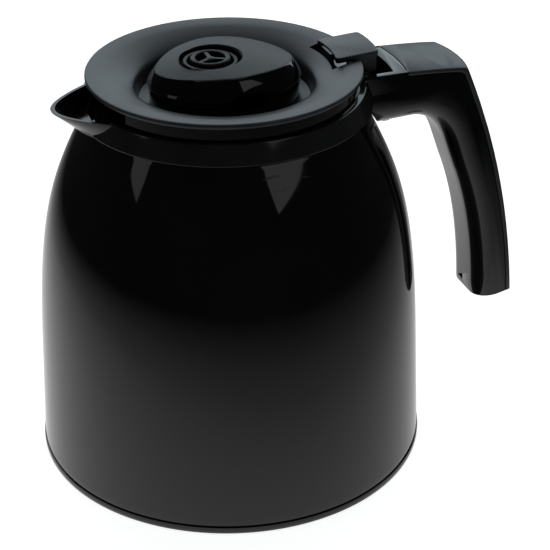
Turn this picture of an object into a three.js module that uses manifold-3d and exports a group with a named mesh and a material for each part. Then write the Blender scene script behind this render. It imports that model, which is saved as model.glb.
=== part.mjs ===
// Insulated coffee jug with a brew-through lid: a plastic casing around a double-walled flask,
// a pouring collar with its spout, a one-armed handle, and a lid that lifts off. A thumb lever
// at the back of the lid pushes one central valve open; the same valve lets the coffee in.
//
// Units are millimetres. +Z is up, the spout points along -X and the handle along +X.
// The origin is the centre of the foot ring, on the surface that the jug stands on.

import * as THREE from 'three';
import { mergeVertices } from 'three/addons/utils/BufferGeometryUtils.js';
import { ConvexGeometry } from 'three/addons/geometries/ConvexGeometry.js';
import Module from 'manifold-3d';

const wasm = await Module();
wasm.setup();

// ---------------------------------------------------------------- driving dimensions

const GAP = 0.3; // clearance between pieces that touch
const FINE = 40; // segments round the large visible rings
const COARSE = 24; // segments round small or hidden rings

const FOOT_RADIUS = 80.3;
const FOOT_HEIGHT = 3.8;
const SHELL_WALL = 2.2;
const SHELL_TOP = 150.2;
const SHELL_TOP_RADIUS = 54.3;
const FLASK_NECK_RADIUS = 56.8; // what the flask's insets are counted from at its neck
const NECK_TOP = 153;

const COLLAR_BORE = 47.8;
const COLLAR_BASE = 150.5;
const COLLAR_BASE_RADIUS = 58.2;
const COLLAR_TOP = 158.6;
const COLLAR_TOP_RADIUS = 55.4;

const SPOUT_TIP = 69.8; // how far the lip reaches from the axis
const SPOUT_HALF_WIDTH = 21.5; // where the lip leaves the collar
const SPOUT_WALL = 1.8;
const SPOUT_LIP = 158.4;
const SPOUT_BED = 151.8;

const FLASK_OUTER_INSET = 4.8; // casing surface to outer flask wall
const FLASK_INNER_INSET = 9.5; // casing surface to inner flask wall
const GLASS = 1.5;
const FLASK_RIM = 146.5;

const ARM_HALF_WIDTH = 15.1;
const ARM_TOP = 158.8;
const COVER_SEAM_RADIUS = 73;
const COVER_THICKNESS = 2.1;
const WELL_RADIUS = 67.6;
const WELL_HALF_WIDTH = 12;
const GRIP_END = 49.8;
const SCREW_X = 66.2;

const DISH_RADIUS = 54.4;
const DISH_RIM = 165.9;
const SKIRT_RADIUS = 53.2;
const MOAT_FLOOR = 154;
const NOTCH_RADIUS = 42.2;
const NOTCH_HALF_WIDTH = 12.6;
const PLUG_RADIUS = 46.4;
const PLUG_WALL = 1.2;
const LID_FLOOR = 135;
const PORT_RADIUS = 13.5;

const TOWER_LENGTH = 30.1; // half of the oval, along the spout and handle
const TOWER_WIDTH = 24.8; // half of the oval, across
const TOWER_WALL = 2;
const CAP_RIM_LENGTH = 30.7;
const CAP_RIM_WIDTH = 25.5;
const CAP_FACE_LENGTH = 27.6;
const CAP_FACE_WIDTH = 21.9;
const CAP_RIM_HEIGHT = 162.4; // where the cap is widest
const CAP_FOOT = 160.8; // the cap's lower edge, drawn in a little from the rim
const CAP_CROWN = 171.7;
const INLET_CENTRE = -5.6; // the inlet sits nearer the spout
const INLET_RADIUS = 12.7;

const STEM_RADIUS = 3;
const WHEEL_RADIUS = 8.7;
const WHEEL_TOP = 171.2;

const PIVOT_X = -30;
const LEVER_TRAVEL = 7; // how far the thumb tab goes down
const PIVOT_Z = 147.4;
const PIN_RADIUS = 1.5;
const TAB_INNER = 44;
const TAB_OUTER = 61.7;
const TAB_HALF_WIDTH = 11;
const TAB_TOP = 167.5;
const TAB_PLATE = 1.6;

// ---------------------------------------------------------------- solids and booleans

function signedVolume(position, index) {
  const a = new THREE.Vector3();
  const b = new THREE.Vector3();
  const c = new THREE.Vector3();
  let total = 0;
  for (let i = 0; i < index.length; i += 3) {
    a.fromBufferAttribute(position, index[i]);
    b.fromBufferAttribute(position, index[i + 1]);
    c.fromBufferAttribute(position, index[i + 2]);
    total += a.dot(b.cross(c)) / 6;
  }
  return total;
}

// A closed three.js geometry as a solid: corners welded, slivers dropped, faces out.
function solid(geometry) {
  const bare = geometry.clone();
  bare.deleteAttribute('normal');
  bare.deleteAttribute('uv');
  const welded = mergeVertices(bare, 1e-4);
  const corners = [];
  for (let i = 0; i < welded.index.count; i += 3) {
    const [a, b, c] = [0, 1, 2].map((k) => welded.index.getX(i + k));
    if (a !== b && b !== c && c !== a) {
      corners.push(a, b, c);
    }
  }
  if (signedVolume(welded.attributes.position, corners) < 0) {
    corners.reverse();
  }
  return new wasm.Manifold(new wasm.Mesh({
    numProp: 3,
    vertProperties: new Float32Array(welded.attributes.position.array),
    triVerts: new Uint32Array(corners),
  }));
}

function join(first, ...others) {
  return others.reduce((whole, other) => whole.add(other), first);
}

function cut(base, ...tools) {
  return tools.reduce((rest, tool) => rest.subtract(tool), base);
}

function common(first, ...others) {
  return others.reduce((rest, other) => rest.intersect(other), first);
}

// Turns a closed (radius, height) profile about the vertical axis.
function turned(points, segments = FINE) {
  const profile = points.map(([radius, height]) => new THREE.Vector2(radius, height));
  const closed = points[0][0] === 0 ? profile : [...profile, profile[0]];
  return solid(new THREE.LatheGeometry(closed, segments).rotateX(Math.PI / 2));
}

function cylinder(radius, low, high, x = 0, y = 0, segments = COARSE) {
  const shape = new THREE.CylinderGeometry(radius, radius, high - low, segments);
  return solid(shape.rotateX(Math.PI / 2).translate(x, y, (low + high) / 2));
}

function box(lowX, highX, lowY, highY, lowZ, highZ) {
  const shape = new THREE.BoxGeometry(highX - lowX, highY - lowY, highZ - lowZ);
  return solid(shape.translate((lowX + highX) / 2, (lowY + highY) / 2, (lowZ + highZ) / 2));
}

// A side view (x, z) given width along Y, centred on the handle's plane.
function sideways(shape, halfWidth, steps = 8) {
  const settings = { depth: 2 * halfWidth, bevelEnabled: false, curveSegments: steps };
  return solid(new THREE.ExtrudeGeometry(shape, settings).rotateX(Math.PI / 2).translate(0, halfWidth, 0));
}

// A plan view (x, y) raised from one height to another.
function raised(shape, low, high, steps = 8) {
  const settings = { depth: high - low, bevelEnabled: false, curveSegments: steps };
  return solid(new THREE.ExtrudeGeometry(shape, settings).translate(0, 0, low));
}

function ovalShape(length, width, centre = 0) {
  return new THREE.Shape().absellipse(centre, 0, length, width, 0, 2 * Math.PI, false, 0);
}

function oval(length, width, low, high, steps = FINE) {
  return raised(ovalShape(length, width), low, high, steps / 2);
}

// The smallest convex solid round a set of points.
function hull(points) {
  return solid(new ConvexGeometry(points));
}

function material(color, roughness, metalness = 0) {
  return () => new THREE.MeshStandardMaterial({ color, roughness, metalness });
}

const glossBlack = material(0x0b0c0d, 0.12);
const satinBlack = material(0x2a2e33, 0.38);
const grainedBlack = material(0x1d2023, 0.55);
const glass = material(0xc9d2d4, 0.05, 0.6);
const silicone = material(0x8d9294, 0.6);
const softRubber = material(0x303235, 0.85);
const steel = material(0xb7babd, 0.3, 1);

const jug = new THREE.Group();

function add(name, body, makeMaterial) {
  if (body.decompose().length !== 1) {
    throw new Error(`${name} is not one body`);
  }
  const mesh = body.getMesh();
  const geometry = new THREE.BufferGeometry();
  geometry.setAttribute('position', new THREE.BufferAttribute(new Float32Array(mesh.vertProperties), 3));
  geometry.setIndex(new THREE.BufferAttribute(new Uint32Array(mesh.triVerts), 1));
  geometry.computeVertexNormals();
  const piece = new THREE.Mesh(geometry, makeMaterial());
  piece.name = name;
  jug.add(piece);
}

// ---------------------------------------------------------------- casing

// The jug's outside: nearly straight at the foot, then one smooth shoulder up to the neck.
function bodyCurve(neckRadius) {
  return new THREE.SplineCurve([
    new THREE.Vector2(79.9, 4.1),
    new THREE.Vector2(78.4, 45),
    new THREE.Vector2(75.3, 90),
    new THREE.Vector2(69.3, 118),
    new THREE.Vector2(59.8, 140),
    new THREE.Vector2(neckRadius, SHELL_TOP),
  ]);
}

const casingCurve = bodyCurve(SHELL_TOP_RADIUS);
const flaskCurve = bodyCurve(FLASK_NECK_RADIUS);

function curveRadius(curve, height) {
  let low = 0;
  let high = 1;
  for (let i = 0; i < 24; i += 1) {
    const middle = (low + high) / 2;
    if (curve.getPoint(middle).y < height) {
      low = middle;
    } else {
      high = middle;
    }
  }
  return curve.getPoint(low).x;
}

// Points up the casing's curve, or the flask's, set in from its surface.
function casingPoints(inset, low, high, count, curve = casingCurve) {
  const points = [];
  for (let i = 0; i <= count; i += 1) {
    const height = low + ((high - low) * i) / count;
    points.push([curveRadius(curve, height) - inset, height]);
  }
  return points;
}

function outerShell() {
  const outside = casingPoints(0, 4.1, SHELL_TOP, 11);
  const inside = casingPoints(SHELL_WALL, 4.1, 147, 5).reverse();
  const neck = [[53.6, SHELL_TOP], [53.6, NECK_TOP], [51.8, NECK_TOP], [51.8, 148.6]];
  const drilling = [-5, 5].map((y) => cylinder(1.2, 130, 150, SCREW_X, y, 16));
  const lug = cut(lugPocket(0), box(50, 56.8, -10, 10, 130, 150), ...drilling);
  const wall = cut(turned([...outside, ...neck, ...inside]), spoutCavity(SPOUT_WALL + GAP));
  return join(wall, lug);
}

// Stands on a foot ring and on a disc in the middle, with a shallow recess between them.
function basePlate() {
  return turned([
    [0, 0], [17, 0], [18.5, 1.6], [66, 1.6], [67.5, 0], [78.6, 0], [80, 0.8], [FOOT_RADIUS, 2], [FOOT_RADIUS, FOOT_HEIGHT],
    [77.3, FOOT_HEIGHT], [77.3, 8], [75.6, 8], [75.6, 4], [0, 4],
  ]);
}

// ---------------------------------------------------------------- flask

function flaskOuter() {
  const outside = casingPoints(FLASK_OUTER_INSET, 26, 145, 5, flaskCurve);
  const inside = casingPoints(FLASK_OUTER_INSET + GLASS, 26, 145, 5, flaskCurve).reverse();
  return turned([
    [0, 9], [48, 9.6], [64, 13], [71.5, 18.5], ...outside, ...inside, [69.6, 19.6], [63, 14.6], [47.5, 11.2],
    [0, 10.6],
  ], COARSE);
}

function flaskInner() {
  const outside = casingPoints(FLASK_INNER_INSET, 28, 144, 5, flaskCurve);
  const inside = casingPoints(FLASK_INNER_INSET + GLASS, 28, 144, 5, flaskCurve).reverse();
  return turned([
    [0, 15], [46, 15.6], [60, 18.6], [67.4, 23.5], ...outside, [49, 145.3], [53.4, 145.3], [53.4, FLASK_RIM],
    [47.5, FLASK_RIM], ...inside, [65.8, 24.4], [59, 20.2], [45.5, 17.2], [0, 16.6],
  ], COARSE);
}

function flaskCushion() {
  return turned([[20, 4.3], [58, 4.3], [58, 7.6], [56, 10], [50, 9.4], [48, 8.7], [20, 8.6]], COARSE);
}

function neckGasket() {
  return turned([[48, 146.8], [51.4, 146.8], [51.4, 148.2], [50.6, 149], [48, 149]], COARSE);
}

// ---------------------------------------------------------------- pouring collar and spout

// Half of the spout's outline in plan, from the collar to the lip, as points of one curve.
function spoutOutline(tip, halfWidth, height, inset) {
  const rootWidth = halfWidth + 2.5 - inset;
  const edge = new THREE.QuadraticBezierCurve(
    new THREE.Vector2(-46, rootWidth),
    new THREE.Vector2(-(tip - 0.4 - inset), 0.36 * halfWidth),
    new THREE.Vector2(-(tip - inset), 0),
  );
  const side = edge.getPoints(10).map((p) => new THREE.Vector3(p.x, Math.max(p.y, 0), height));
  side.push(new THREE.Vector3(-41, rootWidth, height));
  const mirrored = side.filter((p) => p.y > 0).map((p) => new THREE.Vector3(p.x, -p.y, height));
  return [...side, ...mirrored];
}

function spoutBody() {
  return hull([
    ...spoutOutline(SPOUT_TIP, SPOUT_HALF_WIDTH, SPOUT_LIP, 0),
    ...spoutOutline(SPOUT_TIP - 0.3, SPOUT_HALF_WIDTH, SPOUT_LIP - 1.2, 0),
    ...spoutOutline(60.4, SPOUT_HALF_WIDTH - 1, 149.9, 0),
  ]);
}

// The space inside the spout, grown by a margin on its closed sides.
function spoutCavity(margin) {
  const inset = SPOUT_WALL - margin;
  return hull([
    ...spoutOutline(SPOUT_TIP, SPOUT_HALF_WIDTH, SPOUT_LIP + 6, inset),
    ...spoutOutline(SPOUT_TIP, SPOUT_HALF_WIDTH, SPOUT_LIP, inset),
    ...spoutOutline(61.5, SPOUT_HALF_WIDTH - 1, SPOUT_BED - margin, inset),
  ]);
}

function pouringCollar() {
  const ring = turned([
    [44, 149.3], [52.5, 149.3], [52.5, COLLAR_BASE], [COLLAR_BASE_RADIUS - 0.6, COLLAR_BASE],
    [COLLAR_BASE_RADIUS, COLLAR_BASE + 0.6], [COLLAR_TOP_RADIUS, COLLAR_TOP - 0.5],
    [COLLAR_TOP_RADIUS - 0.6, COLLAR_TOP], [44, COLLAR_TOP],
  ]);
  const throat = cylinder(COLLAR_BORE, 100, 180, 0, 0, FINE);
  const casingTop = turned([
    [51.5, 125], ...casingPoints(-GAP, 125, SHELL_TOP, 6), [SHELL_TOP_RADIUS + GAP, COLLAR_BASE], [54, COLLAR_BASE],
    [54, NECK_TOP + GAP], [51.5, NECK_TOP + GAP],
  ]);
  return cut(join(ring, spoutBody()), throat, casingTop, spoutCavity(0));
}

// ---------------------------------------------------------------- handle

// The handle's side view. The outer line can be moved in for the cover's seam.
function handleOutline(inset, overshoot = 0) {
  const out = inset - overshoot;
  const end = inset > 0 ? GRIP_END - 1 : GRIP_END;
  const shape = new THREE.Shape();
  shape.moveTo(50, ARM_TOP - out + 0.2);
  shape.lineTo(72, ARM_TOP - out + 0.2);
  shape.quadraticCurveTo(88, 158.4 - out, 96.4 - 0.8 * out, 157.2 - out);
  shape.quadraticCurveTo(98.2 - out, 156.8 - out, 98.9 - out, 154.8 - 0.5 * out);
  shape.quadraticCurveTo(120 - out, 105, 123.6 - out, end);
  shape.lineTo(108.8, end);
  shape.quadraticCurveTo(107.4, 84, 97, 110);
  shape.lineTo(93.4, 120.5);
  shape.quadraticCurveTo(88, 136.9, 76, 136.7);
  shape.lineTo(50, 135.6);
  shape.closePath();
  return shape;
}

// The same side view with its lower and inner edges rounded over and its outer edges left square.
function handleBlank() {
  const edge = 3.2;
  const settings = {
    depth: 2 * (ARM_HALF_WIDTH - edge), curveSegments: 8,
    bevelEnabled: true, bevelThickness: edge, bevelSize: edge, bevelOffset: -edge, bevelSegments: 2,
  };
  const rounded = new THREE.ExtrudeGeometry(handleOutline(0, 8), settings)
    .rotateX(Math.PI / 2)
    .translate(0, ARM_HALF_WIDTH - edge, 0);
  return common(solid(rounded), sideways(handleOutline(0), ARM_HALF_WIDTH + 1));
}

// What lies outside the seam between the handle and its cover.
function coverZone(inset) {
  const beyondSeam = cut(box(60, 130, -20, 20, 40, 170), cylinder(COVER_SEAM_RADIUS, 30, 180, 0, 0, FINE));
  const core = sideways(handleOutline(inset), 20);
  const kept = cut(beyondSeam, core);
  return cut(kept, sideways(innerSide(), 20));
}

// The region on the finger side of the handle, which the cover never reaches.
function innerSide() {
  const shape = new THREE.Shape();
  shape.moveTo(50, 150);
  shape.lineTo(92, 150);
  shape.quadraticCurveTo(112, 104, 115, 40);
  shape.lineTo(50, 40);
  shape.closePath();
  return shape;
}

function lidAndCollarSpace() {
  return turned([
    [0, 130], ...casingPoints(-2 * GAP, 130, SHELL_TOP, 6), [COLLAR_BASE_RADIUS + GAP, SHELL_TOP],
    [COLLAR_BASE_RADIUS + GAP, COLLAR_BASE + 0.8],
    [COLLAR_TOP_RADIUS + GAP, COLLAR_TOP - 0.4], [COLLAR_TOP_RADIUS + GAP, 175], [0, 175],
  ]);
}

// The lug on the casing that the handle's two screws hold, and with a margin its pocket.
function lugPocket(margin) {
  return box(50, 70 + margin, -8 - margin, 8 + margin, 139.5 - margin, 144.5 + margin);
}

function handleBody() {
  const blank = handleBlank();
  const well = common(
    box(50, 70, -WELL_HALF_WIDTH, WELL_HALF_WIDTH, 149.5, 175),
    cylinder(WELL_RADIUS, 140, 180, 0, 0, FINE),
  );
  const hollow = sideways(gripHollow(), ARM_HALF_WIDTH - 3);
  const snapWindow = box(100, 116, 3, 8, 54, 60);
  const drilling = [-5, 5].map((y) => cylinder(1.6, 130, 141, SCREW_X, y, 16));
  const body = cut(
    blank, coverZone(COVER_THICKNESS), lidAndCollarSpace(), well, hollow, snapWindow, lugPocket(GAP), ...drilling,
  );
  return cut(body, ...[-5, 5].map((y) => cylinder(3.2, 130, 137.6, SCREW_X, y, 20)));
}

// The hollow behind the cover that makes the handle light.
function gripHollow() {
  const shape = new THREE.Shape();
  shape.moveTo(76, 160);
  shape.lineTo(76, 141);
  shape.quadraticCurveTo(91, 141, 97.4, 123);
  shape.lineTo(101, 112);
  shape.quadraticCurveTo(111.5, 84, 112.8, 54);
  shape.lineTo(130, 54);
  shape.lineTo(130, 160);
  shape.closePath();
  return shape;
}

function handleCover() {
  const strip = common(handleBlank(), coverZone(COVER_THICKNESS - GAP));
  const hook = join(box(111.6, 122.2, 3.6, 7.4, 54.6, 56.6), box(109.4, 113.4, 3.6, 7.4, 54.6, 59.4));
  const rib = common(sideways(gripHollow(), ARM_HALF_WIDTH - 3.4), cut(
    sideways(handleOutline(COVER_THICKNESS - 0.6), 20),
    sideways(handleOutline(COVER_THICKNESS + 2), 20),
  ), box(76.4, 130, -20, 20, 54.4, 170));
  return join(strip, rib, common(hook, sideways(handleOutline(1), 20)));
}

function handleScrew(y) {
  const head = cylinder(2.8, 134.9, 137.3, SCREW_X, y, 20);
  const slot = box(SCREW_X - 3, SCREW_X + 3, y - 0.4, y + 0.4, 134, 135.9);
  return join(cut(head, slot), cylinder(0.9, 137, 144, SCREW_X, y, 12));
}

// ---------------------------------------------------------------- lid

function dishProfile(drop) {
  const slope = new THREE.SplineCurve([
    new THREE.Vector2(52.6, DISH_RIM - 0.3), new THREE.Vector2(46, 164.9), new THREE.Vector2(40, 162.9),
    new THREE.Vector2(36, 160.3), new THREE.Vector2(34.6, 157.4), new THREE.Vector2(34, MOAT_FLOOR),
  ]);
  return slope.getPoints(7).map((p) => [p.x, p.y - drop]);
}

function notch(radius, halfWidth, low, high) {
  const sector = box(20, 80, -halfWidth, halfWidth, low, high);
  return cut(sector, cylinder(radius, low - 1, high + 1, 0, 0, FINE));
}

function lidDish() {
  const top = dishProfile(0);
  const under = dishProfile(0).reverse().map(([r, z]) => [r + 1.3, Math.max(z - 1.5, MOAT_FLOOR - 1.7)]);
  const bowl = turned([
    [0, MOAT_FLOOR - 1.7], ...under.filter(([r]) => r < 51), [52, 164.6], [52.3, 164],
    [DISH_RADIUS - 0.2, 164], [DISH_RADIUS, 164.6], [DISH_RADIUS - 0.2, DISH_RIM - 0.3],
    [DISH_RADIUS - 0.8, DISH_RIM], ...top, [0, MOAT_FLOOR],
  ]);
  const drain = cylinder(PORT_RADIUS + 1, 150, 156, INLET_CENTRE);
  return cut(bowl, notch(NOTCH_RADIUS, NOTCH_HALF_WIDTH, 150, 180), drain);
}

// The lid's lower half: a plug that enters the neck, its floor with the valve port, and the skirt.
function lidBody() {
  const inner = PLUG_RADIUS - PLUG_WALL;
  const cup = turned([
    [0, LID_FLOOR], [43, LID_FLOOR], [PLUG_RADIUS, LID_FLOOR + 3], [PLUG_RADIUS, 158.9],
    [SKIRT_RADIUS, 158.9], [SKIRT_RADIUS, 163.7], [SKIRT_RADIUS - 1.4, 163.7], [SKIRT_RADIUS - 1.4, 160.4],
    [inner, 160.4], [inner, LID_FLOOR + 3.4], [43, LID_FLOOR + 1.8], [0, LID_FLOOR + 1.8],
  ]);
  const port = cylinder(PORT_RADIUS, 130, 140, INLET_CENTRE);
  const groove = turned([[45.6, 140], [50, 140], [50, 143.4], [45.6, 143.4]]);
  const pourGate = cut(box(-60, -30, -21, 21, 152.2, 158.6), cylinder(40, 140, 170));
  const skirtGate = cut(raised(sector(Math.PI, 0.48, 60), 158.4, 170), cylinder(inner, 140, 175, 0, 0, FINE));
  const rear = notch(NOTCH_RADIUS - 1, NOTCH_HALF_WIDTH, 156.5, 175);
  const guide = cylinder(5.6, LID_FLOOR, LID_FLOOR + 2.4, INLET_CENTRE);
  const spokes = [0, 1, 2].map((i) => spoke(PORT_RADIUS + 1, 1.6, LID_FLOOR, LID_FLOOR + 1.8, i));
  const ears = [-1, 1].map((side) => pivotEar(side));
  const shell = cut(cup, groove, pourGate, skirtGate, rear, port);
  const whole = join(shell, guide, ...spokes, ...ears);
  return cut(whole, cylinder(STEM_RADIUS + GAP, 130, 140, INLET_CENTRE), pinHole());
}

// A flat sector of a disc, centred on one direction.
function sector(direction, halfAngle, radius) {
  const shape = new THREE.Shape();
  shape.moveTo(0, 0);
  for (let i = 0; i <= 6; i += 1) {
    const angle = direction - halfAngle + (2 * halfAngle * i) / 6;
    shape.lineTo(radius * Math.cos(angle), radius * Math.sin(angle));
  }
  shape.closePath();
  return shape;
}

// One of three bars that run out from the valve's axis.
function spoke(length, halfWidth, low, high, index) {
  const bar = new THREE.BoxGeometry(length, 2 * halfWidth, high - low);
  bar.translate(length / 2, 0, (low + high) / 2);
  bar.rotateZ(Math.PI / 2 + (index * 2 * Math.PI) / 3);
  return solid(bar.translate(INLET_CENTRE, 0, 0));
}

function pivotEar(side) {
  const near = 7.6;
  const far = 9.6;
  const low = Math.min(side * near, side * far);
  const high = Math.max(side * near, side * far);
  return box(PIVOT_X - 3.4, PIVOT_X + 3.4, low, high, LID_FLOOR + 1, PIVOT_Z + 3.2);
}

function crossCylinder(radius, halfLength, segments) {
  return solid(new THREE.CylinderGeometry(radius, radius, 2 * halfLength, segments)
    .translate(PIVOT_X, 0, PIVOT_Z));
}

function pinHole() {
  return crossCylinder(PIN_RADIUS + GAP, 12, 24);
}

function leverPin() {
  return crossCylinder(PIN_RADIUS, 9.9, 24);
}

function lidSeal() {
  return turned([[45.9, 140.3], [46.9, 140.3], [47.2, 141], [46.9, 141.7], [47.2, 142.4], [46.9, 143.1], [45.9, 143.1]]);
}

function inletTower() {
  const wall = cut(
    oval(TOWER_LENGTH, TOWER_WIDTH, MOAT_FLOOR + GAP, CAP_FOOT - GAP),
    oval(TOWER_LENGTH - TOWER_WALL, TOWER_WIDTH - TOWER_WALL, MOAT_FLOOR - 2, 175),
  );
  const foot = cut(oval(TOWER_LENGTH - 1, TOWER_WIDTH - 1, MOAT_FLOOR + GAP, 155.9), cylinder(14.6, 150, 158, INLET_CENTRE));
  return cut(join(wall, foot), inletWindows());
}

// One long window with round ends through both long sides of the tower and the cap's edge.
function inletWindows() {
  const shape = new THREE.Shape();
  shape.absarc(-2.2, 160.9, 3.3, Math.PI / 2, (3 * Math.PI) / 2, false);
  shape.absarc(5.6, 160.9, 3.3, -Math.PI / 2, Math.PI / 2, false);
  shape.closePath();
  return sideways(shape, 40);
}

// A ring of points round an oval whose height falls towards its two ends.
function ovalLoop(length, width, height, drop, count = 32) {
  const points = [];
  for (let i = 0; i < count; i += 1) {
    const angle = (2 * Math.PI * i) / count;
    const x = length * Math.cos(angle);
    const fall = drop * Math.cos(angle) ** 2;
    points.push(new THREE.Vector3(x, width * Math.sin(angle), height - fall));
  }
  return points;
}

function capForm(inset, lower) {
  const crown = CAP_CROWN - inset;
  return hull([
    ...ovalLoop(CAP_RIM_LENGTH - 0.9 - inset, CAP_RIM_WIDTH - 0.9 - inset, CAP_FOOT - lower, 0),
    ...ovalLoop(CAP_RIM_LENGTH - inset, CAP_RIM_WIDTH - inset, CAP_RIM_HEIGHT, 0),
    ...ovalLoop(CAP_FACE_LENGTH - inset * 0.7, CAP_FACE_WIDTH - inset * 0.7, crown - 1.4, 2.8),
    ...ovalLoop(18, 14, crown - 0.55, 1.25, 24),
    ...ovalLoop(8, 6.5, crown - 0.1, 0.25, 16),
  ]);
}

function inletCap() {
  const shell = cut(capForm(0, 0), capForm(1.9, 1), inletWindows());
  const inlet = cylinder(INLET_RADIUS, 150, 180, INLET_CENTRE);
  const ledge = cylinder(INLET_RADIUS + 1.4, 166.4, 170, INLET_CENTRE);
  const sleeve = cylinder(10.8, 163.5, 169.9, INLET_CENTRE);
  const floor = cylinder(INLET_RADIUS + 1, 166.4, 167.8, INLET_CENTRE);
  const bore = cylinder(WHEEL_RADIUS + 0.5, 150, 180, INLET_CENTRE);
  return cut(join(cut(join(shell, ledge), inlet), sleeve, floor), bore);
}

// ---------------------------------------------------------------- central valve

function valveStem() {
  const rod = cylinder(STEM_RADIUS, 133.5, 168, INLET_CENTRE, 0, 24);
  const flange = cylinder(9, 144.2, 145.7, INLET_CENTRE);
  return join(rod, flange);
}

function inletWheel() {
  const rim = cut(
    cylinder(WHEEL_RADIUS, 168.3, WHEEL_TOP, INLET_CENTRE, 0, 48),
    cylinder(WHEEL_RADIUS - 2.3, 160, 180, INLET_CENTRE, 0, 48),
  );
  const spokes = [0, 1, 2].map((i) => spoke(WHEEL_RADIUS - 1, 0.9, 169, WHEEL_TOP - 0.3, i));
  return join(rim, cylinder(1.8, 168.3, WHEEL_TOP - 0.3, INLET_CENTRE, 0, 20), ...spokes);
}

function valveDisc() {
  return cylinder(15.8, 131.2, 133.2, INLET_CENTRE);
}

function valveSeal() {
  return cut(cylinder(16.2, 133.5, 134.7, INLET_CENTRE), cylinder(13, 130, 140, INLET_CENTRE));
}

// Five coils of wire round the stem, from the lid's floor to the flange.
class CoilCurve extends THREE.Curve {
  getPoint(t, target = new THREE.Vector3()) {
    const angle = 2 * Math.PI * 5 * t;
    return target.set(INLET_CENTRE + 4.5 * Math.cos(angle), 4.5 * Math.sin(angle), 138 + 5.6 * t);
  }
}

function valveSpring() {
  const wire = new THREE.Shape().absarc(0, 0, 0.4, 0, 2 * Math.PI, false);
  const settings = { steps: 60, extrudePath: new CoilCurve(), curveSegments: 3, bevelEnabled: false };
  return solid(new THREE.ExtrudeGeometry(wire, settings));
}

// ---------------------------------------------------------------- thumb lever

function ringSector(inner, outer, halfWidth, low, high) {
  const ring = cut(cylinder(outer, low, high, 0, 0, FINE), cylinder(inner, low - 1, high + 1, 0, 0, FINE));
  return common(ring, box(20, 80, -halfWidth, halfWidth, low - 1, high + 1));
}

function thumbLever() {
  const plate = ringSector(TAB_INNER, TAB_OUTER, TAB_HALF_WIDTH, TAB_TOP - TAB_PLATE, TAB_TOP);
  const collarWhenDown = turned([
    [0, 140], [COLLAR_BASE_RADIUS + 0.5, 140], [COLLAR_BASE_RADIUS + 0.5, COLLAR_BASE + LEVER_TRAVEL],
    [COLLAR_TOP_RADIUS + 0.5, COLLAR_TOP + LEVER_TRAVEL], [0, COLLAR_TOP + LEVER_TRAVEL],
  ]);
  const block = cut(ringSector(55.8, TAB_OUTER - 0.5, TAB_HALF_WIDTH - 1, 157.4, TAB_TOP - 1), collarWhenDown);
  const bridge = box(42.6, 46, -4.6, 4.6, 164.4, TAB_TOP - 1);
  const web = box(42.6, 43.7, -4.6, 4.6, 147, 165);
  const arm = box(PIVOT_X, 43.7, -4.4, 4.4, 147, 149.2);
  const yoke = cylinder(10, 147, 149.2, INLET_CENTRE);
  const noses = box(INLET_CENTRE - 1.2, INLET_CENTRE + 1.2, -8.6, 8.6, 146, 148);
  const barrel = crossCylinder(3.2, 7.2, 24);
  const whole = join(plate, block, bridge, web, arm, yoke, noses, barrel);
  return cut(whole, cylinder(STEM_RADIUS + 2, 140, 155, INLET_CENTRE), pinHole());
}

// ---------------------------------------------------------------- assembly

add('outer_shell', outerShell(), glossBlack);
add('base_plate', basePlate(), glossBlack);
add('flask_outer_wall', flaskOuter(), glass);
add('flask_inner_wall', flaskInner(), glass);
add('flask_cushion', flaskCushion(), softRubber);
add('neck_gasket', neckGasket(), silicone);
add('pouring_collar', pouringCollar(), glossBlack);
add('handle_body', handleBody(), glossBlack);
add('handle_cover', handleCover(), satinBlack);
add('handle_screw_front', handleScrew(-5), steel);
add('handle_screw_rear', handleScrew(5), steel);
add('lid_dish', lidDish(), satinBlack);
add('lid_body', lidBody(), glossBlack);
add('lid_seal', lidSeal(), silicone);
add('inlet_tower', inletTower(), glossBlack);
add('inlet_cap', inletCap(), grainedBlack);
add('inlet_wheel', inletWheel(), grainedBlack);
add('valve_stem', valveStem(), glossBlack);
add('valve_disc', valveDisc(), glossBlack);
add('valve_seal', valveSeal(), silicone);
add('valve_spring', valveSpring(), steel);
add('thumb_lever', thumbLever(), satinBlack);
add('lever_pin', leverPin(), steel);

export default jug;
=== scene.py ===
"""Insulated coffee jug: its visible pieces, their finishes, and a small studio round it."""

import math
from types import SimpleNamespace

import bmesh
import bpy
from bpy.props import FloatProperty, FloatVectorProperty, IntProperty, PointerProperty
from mathutils import Matrix, Quaternion, Vector


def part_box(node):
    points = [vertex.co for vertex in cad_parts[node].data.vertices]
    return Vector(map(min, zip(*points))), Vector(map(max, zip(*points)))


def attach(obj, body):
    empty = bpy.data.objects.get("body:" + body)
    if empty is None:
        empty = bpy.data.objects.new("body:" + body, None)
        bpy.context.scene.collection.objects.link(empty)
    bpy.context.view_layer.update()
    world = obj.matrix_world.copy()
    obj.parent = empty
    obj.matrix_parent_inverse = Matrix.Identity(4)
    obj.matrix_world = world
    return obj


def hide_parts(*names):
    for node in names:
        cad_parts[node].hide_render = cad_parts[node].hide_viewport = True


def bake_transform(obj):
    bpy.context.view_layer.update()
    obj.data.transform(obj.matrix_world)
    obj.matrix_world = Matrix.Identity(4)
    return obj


bl_info = {
    "name": "Insulated Coffee Jug",
    "version": (1, 0, 0),
    "blender": (4, 5, 0),
    "location": "View3D > Sidebar > Coffee Jug",
    "description": "Builds an insulated coffee jug, its finishes and a studio round it",
    "category": "Add Mesh",
}

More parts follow.
